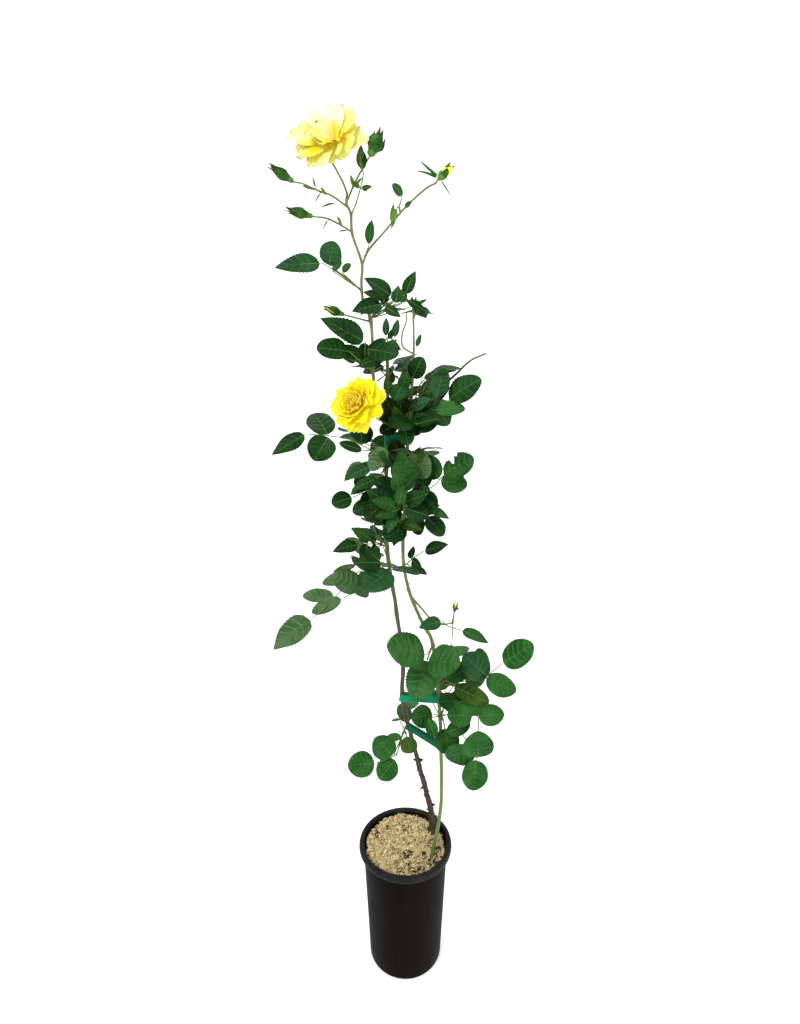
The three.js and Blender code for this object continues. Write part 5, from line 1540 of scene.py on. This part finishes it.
shaving_finishes = [shaving_finish("shaving_straw", (0.70, 0.56, 0.26), (0.94, 0.86, 0.56)),
                    shaving_finish("shaving_gold", (0.42, 0.25, 0.07), (0.68, 0.46, 0.18)),
                    shaving_finish("shaving_brown", (0.09, 0.045, 0.018), (0.24, 0.13, 0.05)),
                    shaving_finish("soil_crumb", (0.008, 0.005, 0.003), (0.035, 0.022, 0.012))]
CRUMB = 3
SHAVINGS = dict(count=4300, length=(4.5, 15), wide=(0.6, 1.7), curl=(0.3, 3.0), thickness=0.35, points=5)
LOWEST_SHAVING, HIGHEST_SHAVING = 228, 249
STEM_CLEARANCE = 3


def curled(centre, heading, side, length, wide, curl, hand):
    """The grid of one shaving: an arc along its heading, narrower towards its ends."""
    shares = np.linspace(-1, 1, SHAVINGS["points"])
    arc = np.linspace(-0.5, 0.5, SHAVINGS["points"]) * curl
    bend = length / curl
    lifted = bend * (1 - np.cos(arc)) * hand
    widths = 0.5 * wide * (1 - 0.6 * np.abs(shares) ** 3)
    return (centre + (bend * np.sin(arc))[:, None, None] * heading
            + lifted[:, None, None] * np.cross(heading, side)
            + times(widths[:, None] * vec((-1, 1))[None, :], side))


shavings = Heap()
feet = [LIMBS[name] for name in ("woody_shank", "right_cane")]
stems = [(foot.at(foot.share_at(238)), foot.radius(0)) for foot in feet]
for _ in range(SHAVINGS["count"]):
    turn, away = between(draw, 0, 2 * math.pi), (BED_RADIUS - 1) * math.sqrt(draw())
    x, y = away * math.cos(turn), away * math.sin(turn)
    bare = any(math.hypot(x - bx, y - by) < reach * between(draw, 0.6, 1.2) for bx, by, reach in BARE_SOIL)
    length, wide = between(draw, *SHAVINGS["length"]), between(draw, *SHAVINGS["wide"])
    curl = between(draw, *SHAVINGS["curl"])
    yaw, pitch, tilt = between(draw, 0, 2 * math.pi), between(draw, -0.6, 0.6), between(draw, -1.2, 1.2)
    tone = 0 if draw() < 0.64 else (1 if draw() < 0.60 else 2)
    if bare and draw() < 0.85:
        tone, length, wide = CRUMB, 0.5 * length, 1.3 * wide
    if any(math.hypot(x - stem[0], y - stem[1]) < thick + STEM_CLEARANCE for stem, thick in stems):
        continue
    heading = vec((math.cos(yaw) * math.cos(pitch), math.sin(yaw) * math.cos(pitch), math.sin(pitch)))
    side = unit(np.cross(vec((0, 0, 1)), heading) + vec((0, 0, tilt)))
    sunk = 2.0 if tone == CRUMB else 0
    centre = vec((x, y, bed_height(x, y) + between(draw, 0.2, 3.6) - sunk))
    grid = curled(centre, heading, side, length, wide, curl, 1 if draw() > 0.4 else -1)
    heights = grid[:, :, 2]
    within = np.hypot(grid[:, :, 0], grid[:, :, 1]).max() < BED_RADIUS
    if within and heights.max() < HIGHEST_SHAVING and heights.min() > LOWEST_SHAVING:
        thin_sheet(shavings, grid, SHAVINGS["thickness"], tone, tone, tone)
shavings.piece("wood_shavings", "wood_shavings", shaving_finishes)

# ---- stage ----
WORLD_STRENGTH = 0.62
SWEEP_GLOW = 0.25
SWEEP_X = (-4200, -1400, 1400, 4200)
SWEEP_BEND = dict(start=1500, rise=20, radius=1100)
white = Finish("studio_white", specular_ior_level=0.1, emission_color=(1, 1, 1, 1),
               emission_strength=SWEEP_GLOW)
paper = white.noise(3, 2.0)
white.wear(base_color=white.blend((0.94, 0.94, 0.94), (0.95, 0.95, 0.95), paper),
           roughness=0.9 + 0.05 * paper)
bend_start, bend_rise, bend_radius = SWEEP_BEND.values()
outline = [(-3200, -0.6), (-1500, -0.6), (0, -0.6), (900, -0.6), (bend_start, bend_rise)]
outline += [(bend_start + bend_radius * math.sin(turn), bend_rise + bend_radius * (1 - math.cos(turn)))
            for turn in np.linspace(0.15, 1.5, 9)]
outline += [(2620, 2200), (2640, 4200)]
sweep = Heap()
sweep_faces = [(row * 4 + column, row * 4 + column + 1, row * 4 + column + 5, row * 4 + column + 4)
               for row in range(len(outline) - 1) for column in range(3)]
sweep.add([[(x, y, z) for x in SWEEP_X] for y, z in outline], sweep_faces)
sweep.form("studio_sweep", [white.material])

world = bpy.data.worlds.new("studio_world")
world.use_nodes = True
world.node_tree.nodes["Background"].inputs["Color"].default_value = (1, 1, 1, 1)
world.node_tree.nodes["Background"].inputs["Strength"].default_value = WORLD_STRENGTH
bpy.context.scene.world = world
bpy.context.scene.view_settings.view_transform = "Standard"

# ---- light: name, place and size in metres, watts ----
SOFTBOXES = [("key_softbox", (-1.4, -2.0, 2.8), 1.2, 62), ("fill_softbox", (1.9, -1.6, 1.6), 1.6, 16),
             ("top_softbox", (0.1, 0.6, 3.2), 1.4, 40)]
LIT_PLACE = (0, 0, 0.9)


def softbox(name, place, size, watts):
    """A square lamp that looks at the middle of the plant."""
    light = bpy.data.lights.new(name, "AREA")
    light.shape = "SQUARE"
    light.size = size
    light.energy = watts
    made = bpy.data.objects.new(name, light)
    away = vec(place) - vec(LIT_PLACE)
    made.location = place
    flat = math.hypot(away[0], away[1])
    made.rotation_euler = (math.atan2(flat, away[2]), 0, math.atan2(away[0], -away[1]))
    bpy.context.scene.collection.objects.link(made)


for row in SOFTBOXES:
    softbox(*row)

# ---- camera: lengths in pixels of a picture 1024 high, its place in metres, its tilt in degrees ----
PICTURE_HEIGHT = 1024
FOCAL_LENGTH = 621
OFF_CENTRE = (-5.4, -21)
CAMERA_PLACE = (0, -0.990, 1.170)
CAMERA_DOWNWARD = 13.6
SENSOR_HEIGHT = 36

lens = bpy.data.cameras.new("camera")
lens.sensor_fit = "VERTICAL"
lens.sensor_height = SENSOR_HEIGHT
lens.lens = SENSOR_HEIGHT * FOCAL_LENGTH / PICTURE_HEIGHT
lens.shift_x = OFF_CENTRE[0] / PICTURE_HEIGHT
lens.shift_y = OFF_CENTRE[1] / PICTURE_HEIGHT
lens.clip_end = 30
camera = bpy.data.objects.new("camera", lens)
camera.location = CAMERA_PLACE
camera.rotation_euler = (math.radians(90 - CAMERA_DOWNWARD), 0, 0)
bpy.context.scene.collection.objects.link(camera)
bpy.context.scene.camera = camera

bpy.context.view_layer.update()
